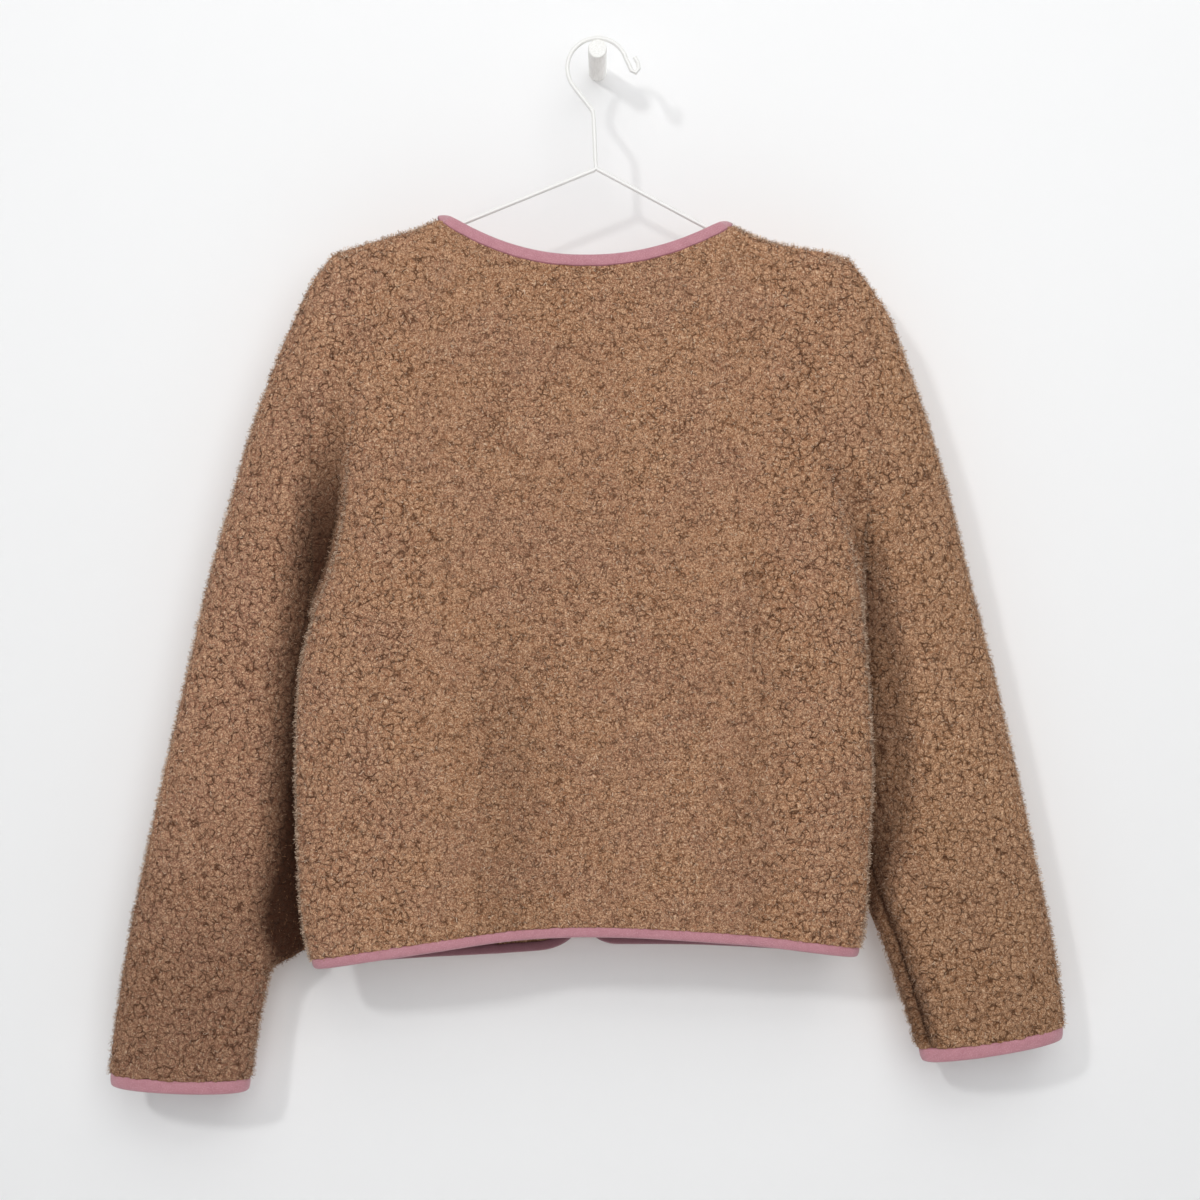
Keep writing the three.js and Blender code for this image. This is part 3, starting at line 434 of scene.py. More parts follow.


# %% [markdown]
# ## Sleeves
#
# A sleeve is a row of flattened rings. The first is the armhole itself, and the others come from the
# table: an outer line, an inner line, and how far the cloth swells between them. The rings are joined by
# smooth curves down the sleeve, so that it leaves the armhole without a step. A sleeve that hangs straight
# down pulls its own cloth into a valley beside the body, so the grid is pressed back there. How much
# painted shade falls in that valley, in the crease and towards the cuff is kept for the finish.

# %% Sleeve rings
SLEEVE_PITCH = 2.0
SLEEVE_COLUMNS = 216
ARMHOLE_OUT = 0.4
SWELL_POWER = 0.9
SINK_START = 9.0
FRONT_SINK = 0.4
# The wall side of a sleeve gets less of the valley's painted shade.
FRONT_PAINTED_SHADE = 0.6
CUFF_EASE = 40.0
TUCK_EASE = (60.0, 18.0)
CREASE_EASE = (22.0, 25.0)
LIP_WIDTH = 12.0
# Painted shade on the lip beside the crease.
LIP_PAINTED_SHADE = 0.55
SHADE_BELOW = (520.0, 720.0)


def between(z, table, ease):
    """1 between the two heights of a table, easing in at the upper one and out at the lower one."""
    return smooth(table["from"] - z, 0, ease[0]) * (1 - smooth(table["to"] - z, 0, ease[1]))


def valley_at(side, x, z):
    """How far a place lies in the valley beside the body, its depth, and how much painted shade it gets."""
    table = VALLEYS[side]
    flat, fade = through(table["z"], table["flat"], z), through(table["z"], table["fade"], z)
    past_edge = (x - side_at(side, "x", z)) * SIGN[side]
    inside = 1 - smooth(past_edge, flat, flat + fade)
    return inside, through(table["z"], table["deep"], z), through(table["z"], table["dark"], z)


def armhole_ring(side, turn):
    table = SIDES[side]["z"]
    z = mix(table[0], table[UNDERARM_ROW], (1 - np.cos(turn)) / 2)
    on_back = turn <= math.pi
    depth = np.where(on_back, -edge_depth(side, "back", z), edge_depth(side, "front", z))
    x = side_at(side, "x", z) + ARMHOLE_OUT * SIGN[side]
    return np.stack([x, HANGER_Y + depth, z], -1)


def sleeve_grid(side):
    rows = {name: np.array(values, float)[:, None] for name, values in SLEEVES[side].items()}
    turn = np.linspace(0, 2 * math.pi, SLEEVE_COLUMNS, endpoint=False)
    share = (1 - np.cos(turn))[None, :] / 2
    swell = np.abs(np.sin(turn))[None, :] ** SWELL_POWER
    swell = swell * (1 + rows["lean"] * np.cos(turn)[None, :])
    depth = np.where(turn[None, :] <= math.pi, -rows["back"], rows["front"]) * swell
    rings = np.stack(
        [
            mix(rows["ox"], rows["ix"], share),
            HANGER_Y + mix(rows["oy"], rows["iy"], share) + depth,
            mix(rows["oz"], rows["iz"], share),
        ],
        -1,
    )
    rings = np.concatenate([armhole_ring(side, turn)[None], rings])
    centres = rings.mean(1)
    along = lengths_along(centres)
    length = along[-1]
    grid = through(along, rings, steps(length, SLEEVE_PITCH) * length)
    if side in TUCK:
        tucked = between(grid[..., 2], TUCK[side], TUCK_EASE)
        grid[..., 0] -= SIGN[side] * TUCK[side]["by"] * tucked * share**3
    creased = np.zeros(grid.shape[:2])
    if side in CREASE:
        crease = CREASE[side]
        inner = grid[:, SLEEVE_COLUMNS // 2, 0][:, None]
        run = between(grid[..., 2], crease, CREASE_EASE) * (turn[None, :] <= math.pi)
        from_inner = np.abs(grid[..., 0] - inner)
        pressed = run * np.exp(-(((from_inner - crease["inside"]) / crease["width"]) ** 2))
        lip = run * (1 - smooth(from_inner, crease["inside"], crease["inside"] + LIP_WIDTH))
        grid[..., 1] += crease["deep"] * pressed
        # Painted shade in the crease and on the lip beside it.
        creased = crease["dark"] * np.maximum(pressed, LIP_PAINTED_SHADE * lip)
    valley, deep, dark = valley_at(side, grid[..., 0], grid[..., 2])
    away = smooth(distance_to(grid, grid[0]), 0, SINK_START)
    before_cuff = smooth(distance_to(grid, grid[-1]), CUFF_LEG, CUFF_LEG + CUFF_EASE)
    face = np.where(turn[None, :] <= math.pi, 1.0, FRONT_SINK)
    grid[..., 1] += valley * deep * away * before_cuff * face
    # Painted shade in the valley beside the body, and towards the cuff.
    folded = valley * dark * away * mix(1.0, FRONT_PAINTED_SHADE, turn[None, :] > math.pi)
    shade = SLEEVE_SHADE[side] * smooth(-grid[..., 2], *SHADE_BELOW)
    return grid, np.clip(np.maximum(folded, creased) + shade, 0, 1)


# %% [markdown]
# ## From a grid to a shell of cloth
#
# The grid is the outer face. The inner face is the same cloth moved in by its thickness, with every
# third point. Along the rims three small steps meet one large one in a face of six corners, so the shell
# is closed. Some numbers go with each point: where it lay before the pile is raised, which the finish
# reads so that its pattern stays in step with the shape, and how much pile stands there. Two more say how
# coarse the tufts are and how much painted shade the cloth gets in its valleys and folds.

# %% Shells


def volume_of(corners):
    """Six times the volume between some quads and the origin, less than 0 where they face inwards."""
    a, b, c, d = corners.transpose(1, 0, 2)
    return np.einsum("ij,ij->", a, np.cross(b, c)) + np.einsum("ij,ij->", a, np.cross(c, d))


def placed(name, data):
    """A new object with a mesh, a lamp or a camera, in the scene."""
    piece = bpy.data.objects.new(name, data)
    bpy.context.scene.collection.objects.link(piece)
    return piece


def tell(mesh, label, values):
    """Keep a number with each point of a mesh."""
    every = np.asarray(values, np.float32).ravel()
    mesh.attributes.new(label, "FLOAT", "POINT").data.foreach_set("value", every)


def shell(name, outer, inner, closed, rise, coarse, folded):
    """A closed mesh between a fine outer grid and an inner grid of every third point."""
    rows, columns = outer.shape[:2]
    low_rows, low_columns = inner.shape[:2]
    first = rows * columns

    def fine(r, c):
        return r * columns + (c % columns if closed else c)

    def wide(r, c):
        return first + r * low_columns + (c % low_columns if closed else c)

    r, c = np.meshgrid(np.arange(rows - 1), np.arange(columns if closed else columns - 1), indexing="ij")
    quads = np.stack([fine(r, c), fine(r + 1, c), fine(r + 1, c + 1), fine(r, c + 1)], -1).reshape(-1, 4)
    spans = low_columns if closed else low_columns - 1
    r, c = np.meshgrid(np.arange(low_rows - 1), np.arange(spans), indexing="ij")
    inside = np.stack([wide(r, c), wide(r, c + 1), wide(r + 1, c + 1), wide(r + 1, c)], -1).reshape(-1, 4)
    rims = []
    for k in range(spans):
        top = [fine(0, 3 * k + j) for j in range(4)]
        rims.append([*top, wide(0, k + 1), wide(0, k)])
        foot = [fine(rows - 1, 3 * k + j) for j in (3, 2, 1, 0)]
        rims.append([*foot, wide(low_rows - 1, k), wide(low_rows - 1, k + 1)])
    for k in range(0 if closed else low_rows - 1):
        near = [fine(3 * k + j, 0) for j in (3, 2, 1, 0)]
        rims.append([*near, wide(k, 0), wide(k + 1, 0)])
        far = [fine(3 * k + j, columns - 1) for j in range(4)]
        rims.append([*far, wide(k + 1, low_columns - 1), wide(k, low_columns - 1)])
    points = np.concatenate([outer.reshape(-1, 3), inner.reshape(-1, 3)]) * MM
    faces = [*quads.tolist(), *inside.tolist(), *rims]
    if volume_of(points[quads]) + volume_of(points[inside]) < 0:
        faces = [face[::-1] for face in faces]
    mesh = bpy.data.meshes.new(name)
    mesh.from_pydata(points.tolist(), [], faces)
    mesh.polygons.foreach_set("use_smooth", [True] * len(faces))
    count = len(points)
    place = mesh.attributes.new("rest_place", "FLOAT_VECTOR", "POINT")
    place.data.foreach_set("vector", points.astype(np.float32).ravel())
    for label, values in (("pile_rise", rise), ("pile_coarse", coarse), ("pile_painted_shade", folded)):
        every = np.zeros(count, np.float32)
        every[:first] = values.ravel()
        tell(mesh, label, every)
    mesh.update()
    piece = placed(name, mesh)
    print(f"{name}: {len(faces)} faces, {count} points")
    return piece


def inward_of(grid, closed, towards):
    """Directions into the cloth. towards says roughly which way that is."""
    normal = normals_of(grid, closed)
    return normal if (normal * towards).sum() > 0 else -normal


# %% [markdown]
# ## Cut edges and sewn edges
#
# Each edge is a run of stations: the point on the cut edge, the way into the cloth, and the way out past
# the edge. Bindings are laid along these, and the pile is pressed flat beneath them. The sewn edges are
# kept too, because a seam pulls the pile down into a narrow valley.

# %% Edges of the panels


def stations(points, inward, inside, ring=False):
    along = (np.roll(points, -1, 0) - np.roll(points, 1, 0)) if ring else np.gradient(points, axis=0)
    out = np.cross(along, inward)
    out /= np.linalg.norm(out, axis=1, keepdims=True)
    out *= np.where(((points - inside) * out).sum(1) < 0, -1, 1)[:, None]
    return {"at": points, "into": inward, "out": out, "ring": ring}


def open_run(values_of):
    """A run with two ends, from a function that gives each of its three parts."""
    return {key: values_of(key) for key in ("at", "into", "out")} | {"ring": False}


def joined_runs(*runs):
    return open_run(lambda key: np.concatenate([run[key] for run in runs]))


def backwards(run):
    return open_run(lambda key: run[key][::-1])


def trimmed(run, start):
    """The part of a run that lies past a distance from its start."""
    length = lengths_along(run["at"])
    return open_run(lambda key: run[key][length >= start])


def even(run, pitch):
    """The same run with stations at an even distance."""
    at = run["at"]
    if run["ring"]:
        at = np.concatenate([at, at[:1]])
    length = lengths_along(at)
    count = max(4, round(length[-1] / pitch))
    new = np.linspace(0, length[-1], count, endpoint=not run["ring"])
    out = {"ring": run["ring"], "length": length[-1]}
    for key in ("at", "into", "out"):
        values = np.concatenate([run[key], run[key][:1]]) if run["ring"] else run[key]
        out[key] = np.stack([np.interp(new, length, values[:, k]) for k in range(3)], 1)
    for key in ("into", "out"):
        out[key] /= np.linalg.norm(out[key], axis=1, keepdims=True)
    return out


panels = {}
grid, is_shoulder = back_grid()
into = inward_of(grid, False, np.array([0, 1, 0]))
neck_columns = np.flatnonzero(~is_shoulder)
neck_columns = np.arange(neck_columns[0] - 1, neck_columns[-1] + 2)
panels["back"] = {
    "grid": grid,
    "into": into,
    "closed": False,
    "neck": stations(grid[0, neck_columns], into[0, neck_columns], grid[1, neck_columns]),
    "hem": stations(grid[-1], into[-1], grid[-2]),
    "sewn": [grid[:, 0], grid[:, -1], grid[0, : neck_columns[0] + 1], grid[0, neck_columns[-1] :]],
}
for side in ("left", "right"):
    grid, is_shoulder = front_grid(side)
    into = inward_of(grid, False, np.array([0, -1, 0]))
    last = np.flatnonzero(is_shoulder)[-1]
    panels["front_" + side] = {
        "grid": grid,
        "into": into,
        "closed": False,
        "neck": stations(grid[0, last:], into[0, last:], grid[1, last:]),
        "edge": stations(grid[:-1, -1], into[:-1, -1], grid[:-1, -2]),
        "hem": stations(grid[-1], into[-1], grid[-2]),
        "sewn": [grid[:, 0], grid[0, : last + 1]],
    }
for side in ("left", "right"):
    grid, folded = sleeve_grid(side)
    into = inward_of(grid, True, grid.mean(1, keepdims=True) - grid)
    panels["sleeve_" + side] = {
        "grid": grid,
        "into": into,
        "closed": True,
        "cuff": stations(grid[-1], into[-1], grid[-2], ring=True),
        "folded": folded,
        "sewn": [grid[0]],
    }
for name, panel in panels.items():
    print(name, "grid", panel["grid"].shape[:2], "low", panel["grid"].min((0, 1)).round(1))

# %% [markdown]
# ## The pile's relief
#
# The pile is curly wool, packed in tufts about 4 mm across down the middle of the back and 5 or 6 mm
# elsewhere, with thin dark cracks between them. Cutting
# each tuft by hand is hopeless, so the pattern is a field in space: cells with bent edges. The same steps
# are laid down twice, once to raise the cloth's points and once in the finish, so that a crack in the
# shape is always dark in the colour.

# %% Nodes for the relief


def link(tree, value, socket):
    if isinstance(value, bpy.types.NodeSocket):
        tree.links.new(value, socket)
    else:
        socket.default_value = value


def calc(tree, kind, *values, clamp=False):
    made = tree.nodes.new("ShaderNodeMath")
    made.operation = kind
    made.use_clamp = clamp
    for k, value in enumerate(values):
        link(tree, value, made.inputs[k])
    return made.outputs[0]


def vector(tree, kind, *values, scale=None):
    made = tree.nodes.new("ShaderNodeVectorMath")
    made.operation = kind
    for k, value in enumerate(values):
        link(tree, value, made.inputs[k])
    if scale is not None:
        link(tree, scale, made.inputs["Scale"])
    return made.outputs[0]


def in_mm(tree, place):
    return vector(tree, "SCALE", place, scale=1000.0)


def ramp(tree, value, low, high, to_low=0.0, to_high=1.0):
    made = tree.nodes.new("ShaderNodeMapRange")
    made.interpolation_type = "SMOOTHSTEP"
    for k, entry in enumerate((value, low, high, to_low, to_high)):
        link(tree, entry, made.inputs[k])
    return made.outputs[0]


def noise(tree, place, size, detail=2.0, roughness=0.5, color=False):
    """Noise whose lumps are about size millimetres across."""
    made = tree.nodes.new("ShaderNodeTexNoise")
    link(tree, place, made.inputs["Vector"])
    made.inputs["Scale"].default_value = 1 / size
    made.inputs["Detail"].default_value = detail
    made.inputs["Roughness"].default_value = roughness
    return made.outputs["Color" if color else 0]


def cells(tree, place, size):
    """Distance from the edges of cells about size millimetres across, as a share of their size."""
    made = tree.nodes.new("ShaderNodeTexVoronoi")
    made.feature = "DISTANCE_TO_EDGE"
    link(tree, place, made.inputs["Vector"])
    made.inputs["Scale"].default_value = 1 / size
    return made.outputs["Distance"]


def blend(tree, share, a, b):
    """a where share is 0 and b where it is 1, for plain numbers."""
    return calc(tree, "ADD", a, calc(tree, "MULTIPLY", share, calc(tree, "SUBTRACT", b, a)))


BENDS = ((9.0, 6.0), (3.2, 2.4))
SMALL_TUFTS = {"across": 3.8, "dome": 0.42, "crack": 0.13, "dark": 0.8, "deep": 0.9}
LARGE_TUFTS = {"across": 5.6, "dome": 0.4, "crack": 0.1, "dark": 1.0, "deep": 1.0}
BREAKS = {"across": 5.2, "dark": (0.22, 0.95), "deep": (0.5, 1.0)}
LUMPS_ACROSS = 2.2
DOME_HEIGHT = 0.7
LUMP_HEIGHT = 0.4
HEIGHT_FLOOR = 0.06


def relief(tree, place, coarse):
    """The pile at a place given in metres: its height from 0 to 1, and how deep in a crack, 0 to 1."""
    mm = in_mm(tree, place)
    bent = mm
    for size, reach in BENDS:
        stray = vector(tree, "SUBTRACT", noise(tree, mm, size, color=True), (0.5, 0.5, 0.5))
        bent = vector(tree, "ADD", bent, vector(tree, "SCALE", stray, scale=reach))
    tufts = [(cells(tree, bent, kind["across"]), kind) for kind in (SMALL_TUFTS, LARGE_TUFTS)]
    dome = blend(tree, coarse, *[ramp(tree, edge, -0.1, kind["dome"]) for edge, kind in tufts])
    line = blend(tree, coarse, *[ramp(tree, edge, kind["crack"], 0.0) for edge, kind in tufts])
    broken = ramp(tree, noise(tree, mm, BREAKS["across"]), 0.4, 0.68)
    crack = calc(tree, "MULTIPLY", line, blend(tree, broken, *BREAKS["dark"]))
    crack = calc(tree, "MULTIPLY", crack, blend(tree, coarse, SMALL_TUFTS["dark"], LARGE_TUFTS["dark"]))
    deep = blend(tree, broken, *BREAKS["deep"])
    depth = calc(tree, "MULTIPLY", deep, blend(tree, coarse, SMALL_TUFTS["deep"], LARGE_TUFTS["deep"]))
    dome = calc(tree, "SUBTRACT", 1.0, calc(tree, "MULTIPLY", depth, calc(tree, "SUBTRACT", 1.0, dome)))
    lumps = noise(tree, bent, LUMPS_ACROSS)
    domed = calc(tree, "MULTIPLY", dome, DOME_HEIGHT)
    height = calc(tree, "ADD", domed, calc(tree, "MULTIPLY", lumps, LUMP_HEIGHT))
    return calc(tree, "SUBTRACT", height, HEIGHT_FLOOR, clamp=True), crack


# %% [markdown]
# ## Raise the pile
#
# A geometry modifier moves each outer point along the cloth's normal by the relief's height. Wool also
# sags a little, so the tips lean down. The modifier is applied, which leaves a plain mesh.

# %% Raise
PILE_LOW = 0.0004
PILE_HIGH = 0.0034
PILE_SAG = 0.5


def relief_group():
    tree = bpy.data.node_groups.new("raise the pile", "GeometryNodeTree")
    tree.interface.new_socket("Geometry", in_out="INPUT", socket_type="NodeSocketGeometry")
    tree.interface.new_socket("Geometry", in_out="OUTPUT", socket_type="NodeSocketGeometry")
    start = tree.nodes.new("NodeGroupInput")
    end = tree.nodes.new("NodeGroupOutput")

    def named(label, kind):
        made = tree.nodes.new("GeometryNodeInputNamedAttribute")
        made.data_type = kind
        made.inputs["Name"].default_value = label
        return made.outputs["Attribute"]

    place = named("rest_place", "FLOAT_VECTOR")
    rise = named("pile_rise", "FLOAT")
    height, _ = relief(tree, place, named("pile_coarse", "FLOAT"))
    lift = calc(tree, "ADD", PILE_LOW, calc(tree, "MULTIPLY", height, PILE_HIGH - PILE_LOW))
    lift = calc(tree, "MULTIPLY", lift, rise)
    lean = vector(tree, "ADD", tree.nodes.new("GeometryNodeInputNormal").outputs[0], (0.0, 0.0, -PILE_SAG))
    move = tree.nodes.new("GeometryNodeSetPosition")
    tree.links.new(start.outputs[0], move.inputs["Geometry"])
    tree.links.new(vector(tree, "SCALE", lean, scale=lift), move.inputs["Offset"])
    tree.links.new(move.outputs[0], end.inputs[0])
    return tree


raise_pile = relief_group()


def only(piece):
    bpy.ops.object.select_all(action="DESELECT")
    piece.select_set(True)
    bpy.context.view_layer.objects.active = piece


def area_of(piece):
    return sum(face.area for face in piece.data.polygons)


PRESSED_EASE = (-1.5, 0.5)
BARE_BELOW = 0.3
SEAM_PILE = 0.7
SEAM_EASE = (0.3, 3.5)
BACK_MIDDLE = {"x": -5.0, "half": (70, 150), "finer": 0.85}

bound_edges = {
    "back": [("neck", NECK_SHOWN), ("hem", HEM_SHOWN)],
    "front_left": [("neck", NECK_SHOWN), ("edge", EDGE_LEG), ("hem", EDGE_LEG)],
    "front_right": [("neck", NECK_SHOWN), ("edge", EDGE_LEG), ("hem", EDGE_LEG)],
    "sleeve_left": [("cuff", CUFF_LEG)],
    "sleeve_right": [("cuff", CUFF_LEG)],
}
cloth = {}
for name, panel in panels.items():
    grid, into, closed = panel["grid"], panel["into"], panel["closed"]
    rise = np.ones(grid.shape[:2])
    for edge, leg in bound_edges[name]:
        rise *= smooth(distance_to(grid, panel[edge]["at"]), leg + PRESSED_EASE[0], leg + PRESSED_EASE[1])
    bare = rise < BARE_BELOW
    for line in panel["sewn"]:
        rise *= mix(SEAM_PILE, 1.0, smooth(distance_to(grid, line), *SEAM_EASE))
    coarse = np.ones(rise.shape)
    # The sleeves' painted shade: in their valleys, crease and towards the cuff.
    folded = panel.get("folded", np.zeros(rise.shape))
    if name == "back":
        middle = 1 - smooth(np.abs(grid[..., 0] - BACK_MIDDLE["x"]), *BACK_MIDDLE["half"])
        coarse = 1 - BACK_MIDDLE["finer"] * middle
        # Painted shade in two of the back's soft folds.
        folded = drape_at(grid[..., 0], grid[..., 2], "dark")
    thin = (grid + into * CLOTH)[::3, ::3]
    piece = shell(name + "_cloth", grid, thin, closed, rise, coarse, folded)
    outer_faces = (grid.shape[0] - 1) * (grid.shape[1] - (0 if closed else 1))
    panel["outer_faces"] = outer_faces
    panel["bare"] = bare.ravel()
    panel["sideways"] = 1 - np.abs(into[..., 1]).ravel()
    panel["area"] = sum(face.area for face in list(piece.data.polygons)[:outer_faces])
    only(piece)
    modifier = piece.modifiers.new("raise", "NODES")
    modifier.node_group = raise_pile
    bpy.ops.object.modifier_apply(modifier=modifier.name)
    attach(piece, "root")
    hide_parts(name)
    cloth[name] = piece
    print(f"{name}: cut {panel['area']:.3f} m2, with its pile {area_of(piece):.3f} m2 on both faces")

# %% [markdown]
# ## Loose fibres
#
# A displaced sheet has a clean outline, and wool has not. Single fibres stand out of the tufts and curl
# back. Each is a narrow ribbon of a few quads, so that many thousands of them stay cheap. They are
# scattered by area, with more where the cloth turns away towards the sides, where pile opens up.

# %% Loose fibres
FIBRES = {
    "back": 18000,
    "front_left": 4500,
    "front_right": 4500,
    "sleeve_left": 17000,
    "sleeve_right": 17000,
}
FIBRES_FLAT = 0.25
FIBRES_RIM = 11.0
FIBRE_STATIONS = 4
FIBRE_WIDTH = 0.0004
FIBRE_STRAY = 0.35
FIBRE_DROOP = -0.25
FIBRE_ROOT = 0.0003
FIBRE_STEM = (0.0005, 0.0026)
FIBRE_CURL = (0.0005, 0.0014)
FIBRE_TURN = (1.0, 4.2)
FIBRE_DRIFT = 0.0008
FIBRE_TWIST = 0.6
FIBRE_TAPER = 0.6


def loose_fibres(name, piece, panel, count, seed):
    draw = np.random.default_rng(seed)
    mesh = piece.data
    outer_faces = panel["outer_faces"]
    points = np.zeros(len(mesh.vertices) * 3)
    mesh.vertices.foreach_get("co", points)
    points = points.reshape(-1, 3)
    every = np.zeros(len(mesh.loops), int)
    mesh.loops.foreach_get("vertex_index", every)
    quads = every[: outer_faces * 4].reshape(-1, 4)
    folded = np.zeros(len(points))
    mesh.attributes["pile_painted_shade"].data.foreach_get("value", folded)
    corners = points[quads]
    normal = np.cross(corners[:, 2] - corners[:, 0], corners[:, 3] - corners[:, 1])
    size = np.linalg.norm(normal, axis=1)
    normal /= np.maximum(size, 1e-12)[:, None]
    sideways = panel["sideways"][quads].mean(1)
    weight = size * (FIBRES_FLAT + FIBRES_RIM * sideways**2) * ~panel["bare"][quads].any(1)
    chosen = draw.choice(len(quads), count, p=weight / weight.sum())
    shares = draw.dirichlet(np.ones(4), count)
    root = (corners[chosen] * shares[..., None]).sum(1)
    out = normal[chosen] + draw.normal(0, FIBRE_STRAY, (count, 3)) + np.array([0, 0, FIBRE_DROOP])
    out /= np.linalg.norm(out, axis=1, keepdims=True)
    aside = np.cross(out, draw.normal(0, 1, (count, 3)))
    aside /= np.linalg.norm(aside, axis=1, keepdims=True)
    third = np.cross(out, aside)
    stem = FIBRE_STEM[0] + FIBRE_STEM[1] * draw.uniform(0, 1, (count, 1, 1)) ** 2
    curl = draw.uniform(*FIBRE_CURL, (count, 1, 1))
    turn = draw.uniform(*FIBRE_TURN, (count, 1, 1))
    drift = draw.normal(0, FIBRE_DRIFT, (count, 1, 1))
    t = np.linspace(0, 1, FIBRE_STATIONS)[None, :, None]
    line = root[:, None] - FIBRE_ROOT * out[:, None]
    line = line + out[:, None] * (stem * np.minimum(2 * t, 1) + curl * np.sin(turn * t))
    line = line + aside[:, None] * curl * (1 - np.cos(turn * t)) + third[:, None] * drift * t
    across = third + draw.normal(0, FIBRE_TWIST, (count, 3))
    across /= np.linalg.norm(across, axis=1, keepdims=True)
    half = FIBRE_WIDTH / 2 * (1 - FIBRE_TAPER * t**2) * across[:, None]
    ribbon = np.stack([line - half, line + half], 2).reshape(-1, 3)
    first = np.arange(count)[:, None] * 2 * FIBRE_STATIONS + 2 * np.arange(FIBRE_STATIONS - 1)[None, :]
    faces = np.stack([first, first + 1, first + 3, first + 2], -1).reshape(-1, 4)
    made = bpy.data.meshes.new(name)
    made.from_pydata(ribbon.tolist(), [], faces.tolist())
    # How pale each fibre is: at random, and darker where the cloth has painted shade.
    shade = draw.uniform(0, 1, count) * (1 - folded[quads[chosen]].mean(1))
    tell(made, "fibre_shade", np.repeat(shade, 2 * FIBRE_STATIONS))
    made.update()
    ribbons = placed(name, made)
    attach(ribbons, "root")
    return ribbons


fibres = {}
for seed, (name, piece) in enumerate(cloth.items()):
    fibres[name] = loose_fibres(name + "_fibres", piece, panels[name], FIBRES[name], 100 + seed)
    print(name, "loose fibres:", FIBRES[name])

# %% [markdown]
# ## Bindings
#
# Every open edge is covered by a folded strip of ribbed jersey. It is a U in section, with a soft round
# fold past the edge and two legs that grip the cloth. A knitted strip is never quite even, so its width
# and its puff wander a little along the way. The strip carries two numbers in its UV map: how far along
# it we are and how far across, in metres, which the rib and the dark line along its edge are drawn from.

# %% Folded strips
PROUD = 1.5
BINDING_PITCH = 1.9
PUFF = {"by": 0.22, "every": 22}
UNEVEN = {"by": 0.3, "every": 31}
RING_JOIN = 20
SEAM_SKIP = 0.5
CORNER_CLEAR = 0.3
# How much painted shade a binding's inner leg gets, which faces into the jacket; the fronts' most.
LEG_PAINTED_SHADE = 0.3
FRONT_LEG_PAINTED_SHADE = 0.62


def strip_section(leg, inner_leg):
    """Corners of the U outside and inside: how far through the cloth, and how far along it."""
    outer, inner = -PROUD, CLOTH + PROUD
    half = (inner - outer) / 2
    centre = outer + half
    outside = [(outer + 0.5, -leg), (outer + 0.05, -leg + 0.5)]
    outside += [(outer - 0.35, -leg * 0.66), (outer - 0.4, -leg * 0.33)]
    turns = np.linspace(0, math.pi, 9)
    outside += [(centre - half * math.cos(t), -1.0 + (PROUD + 1.0) * math.sin(t)) for t in turns]
    outside += [(inner + 0.35, -inner_leg * 0.5), (inner - 0.05, -inner_leg + 0.5), (inner - 0.5, -inner_leg)]
    inside = [(CLOTH + 0.3, -inner_leg), (CLOTH + 0.3, 0.3), (-0.3, 0.3), (-0.3, -leg)]
    return np.array(outside), np.array(inside)


def wander(length, count, seed, size):
    """A slow, even wandering between about -1 and 1 along a strip."""
    turns = np.random.default_rng(seed).uniform(0, 2 * math.pi, 6)
    along = np.linspace(0, length, count)
    waves = [np.sin(2 * math.pi * along * (k + 1) / (size * 3) + turns[k]) for k in range(6)]
    return sum(waves) / 3


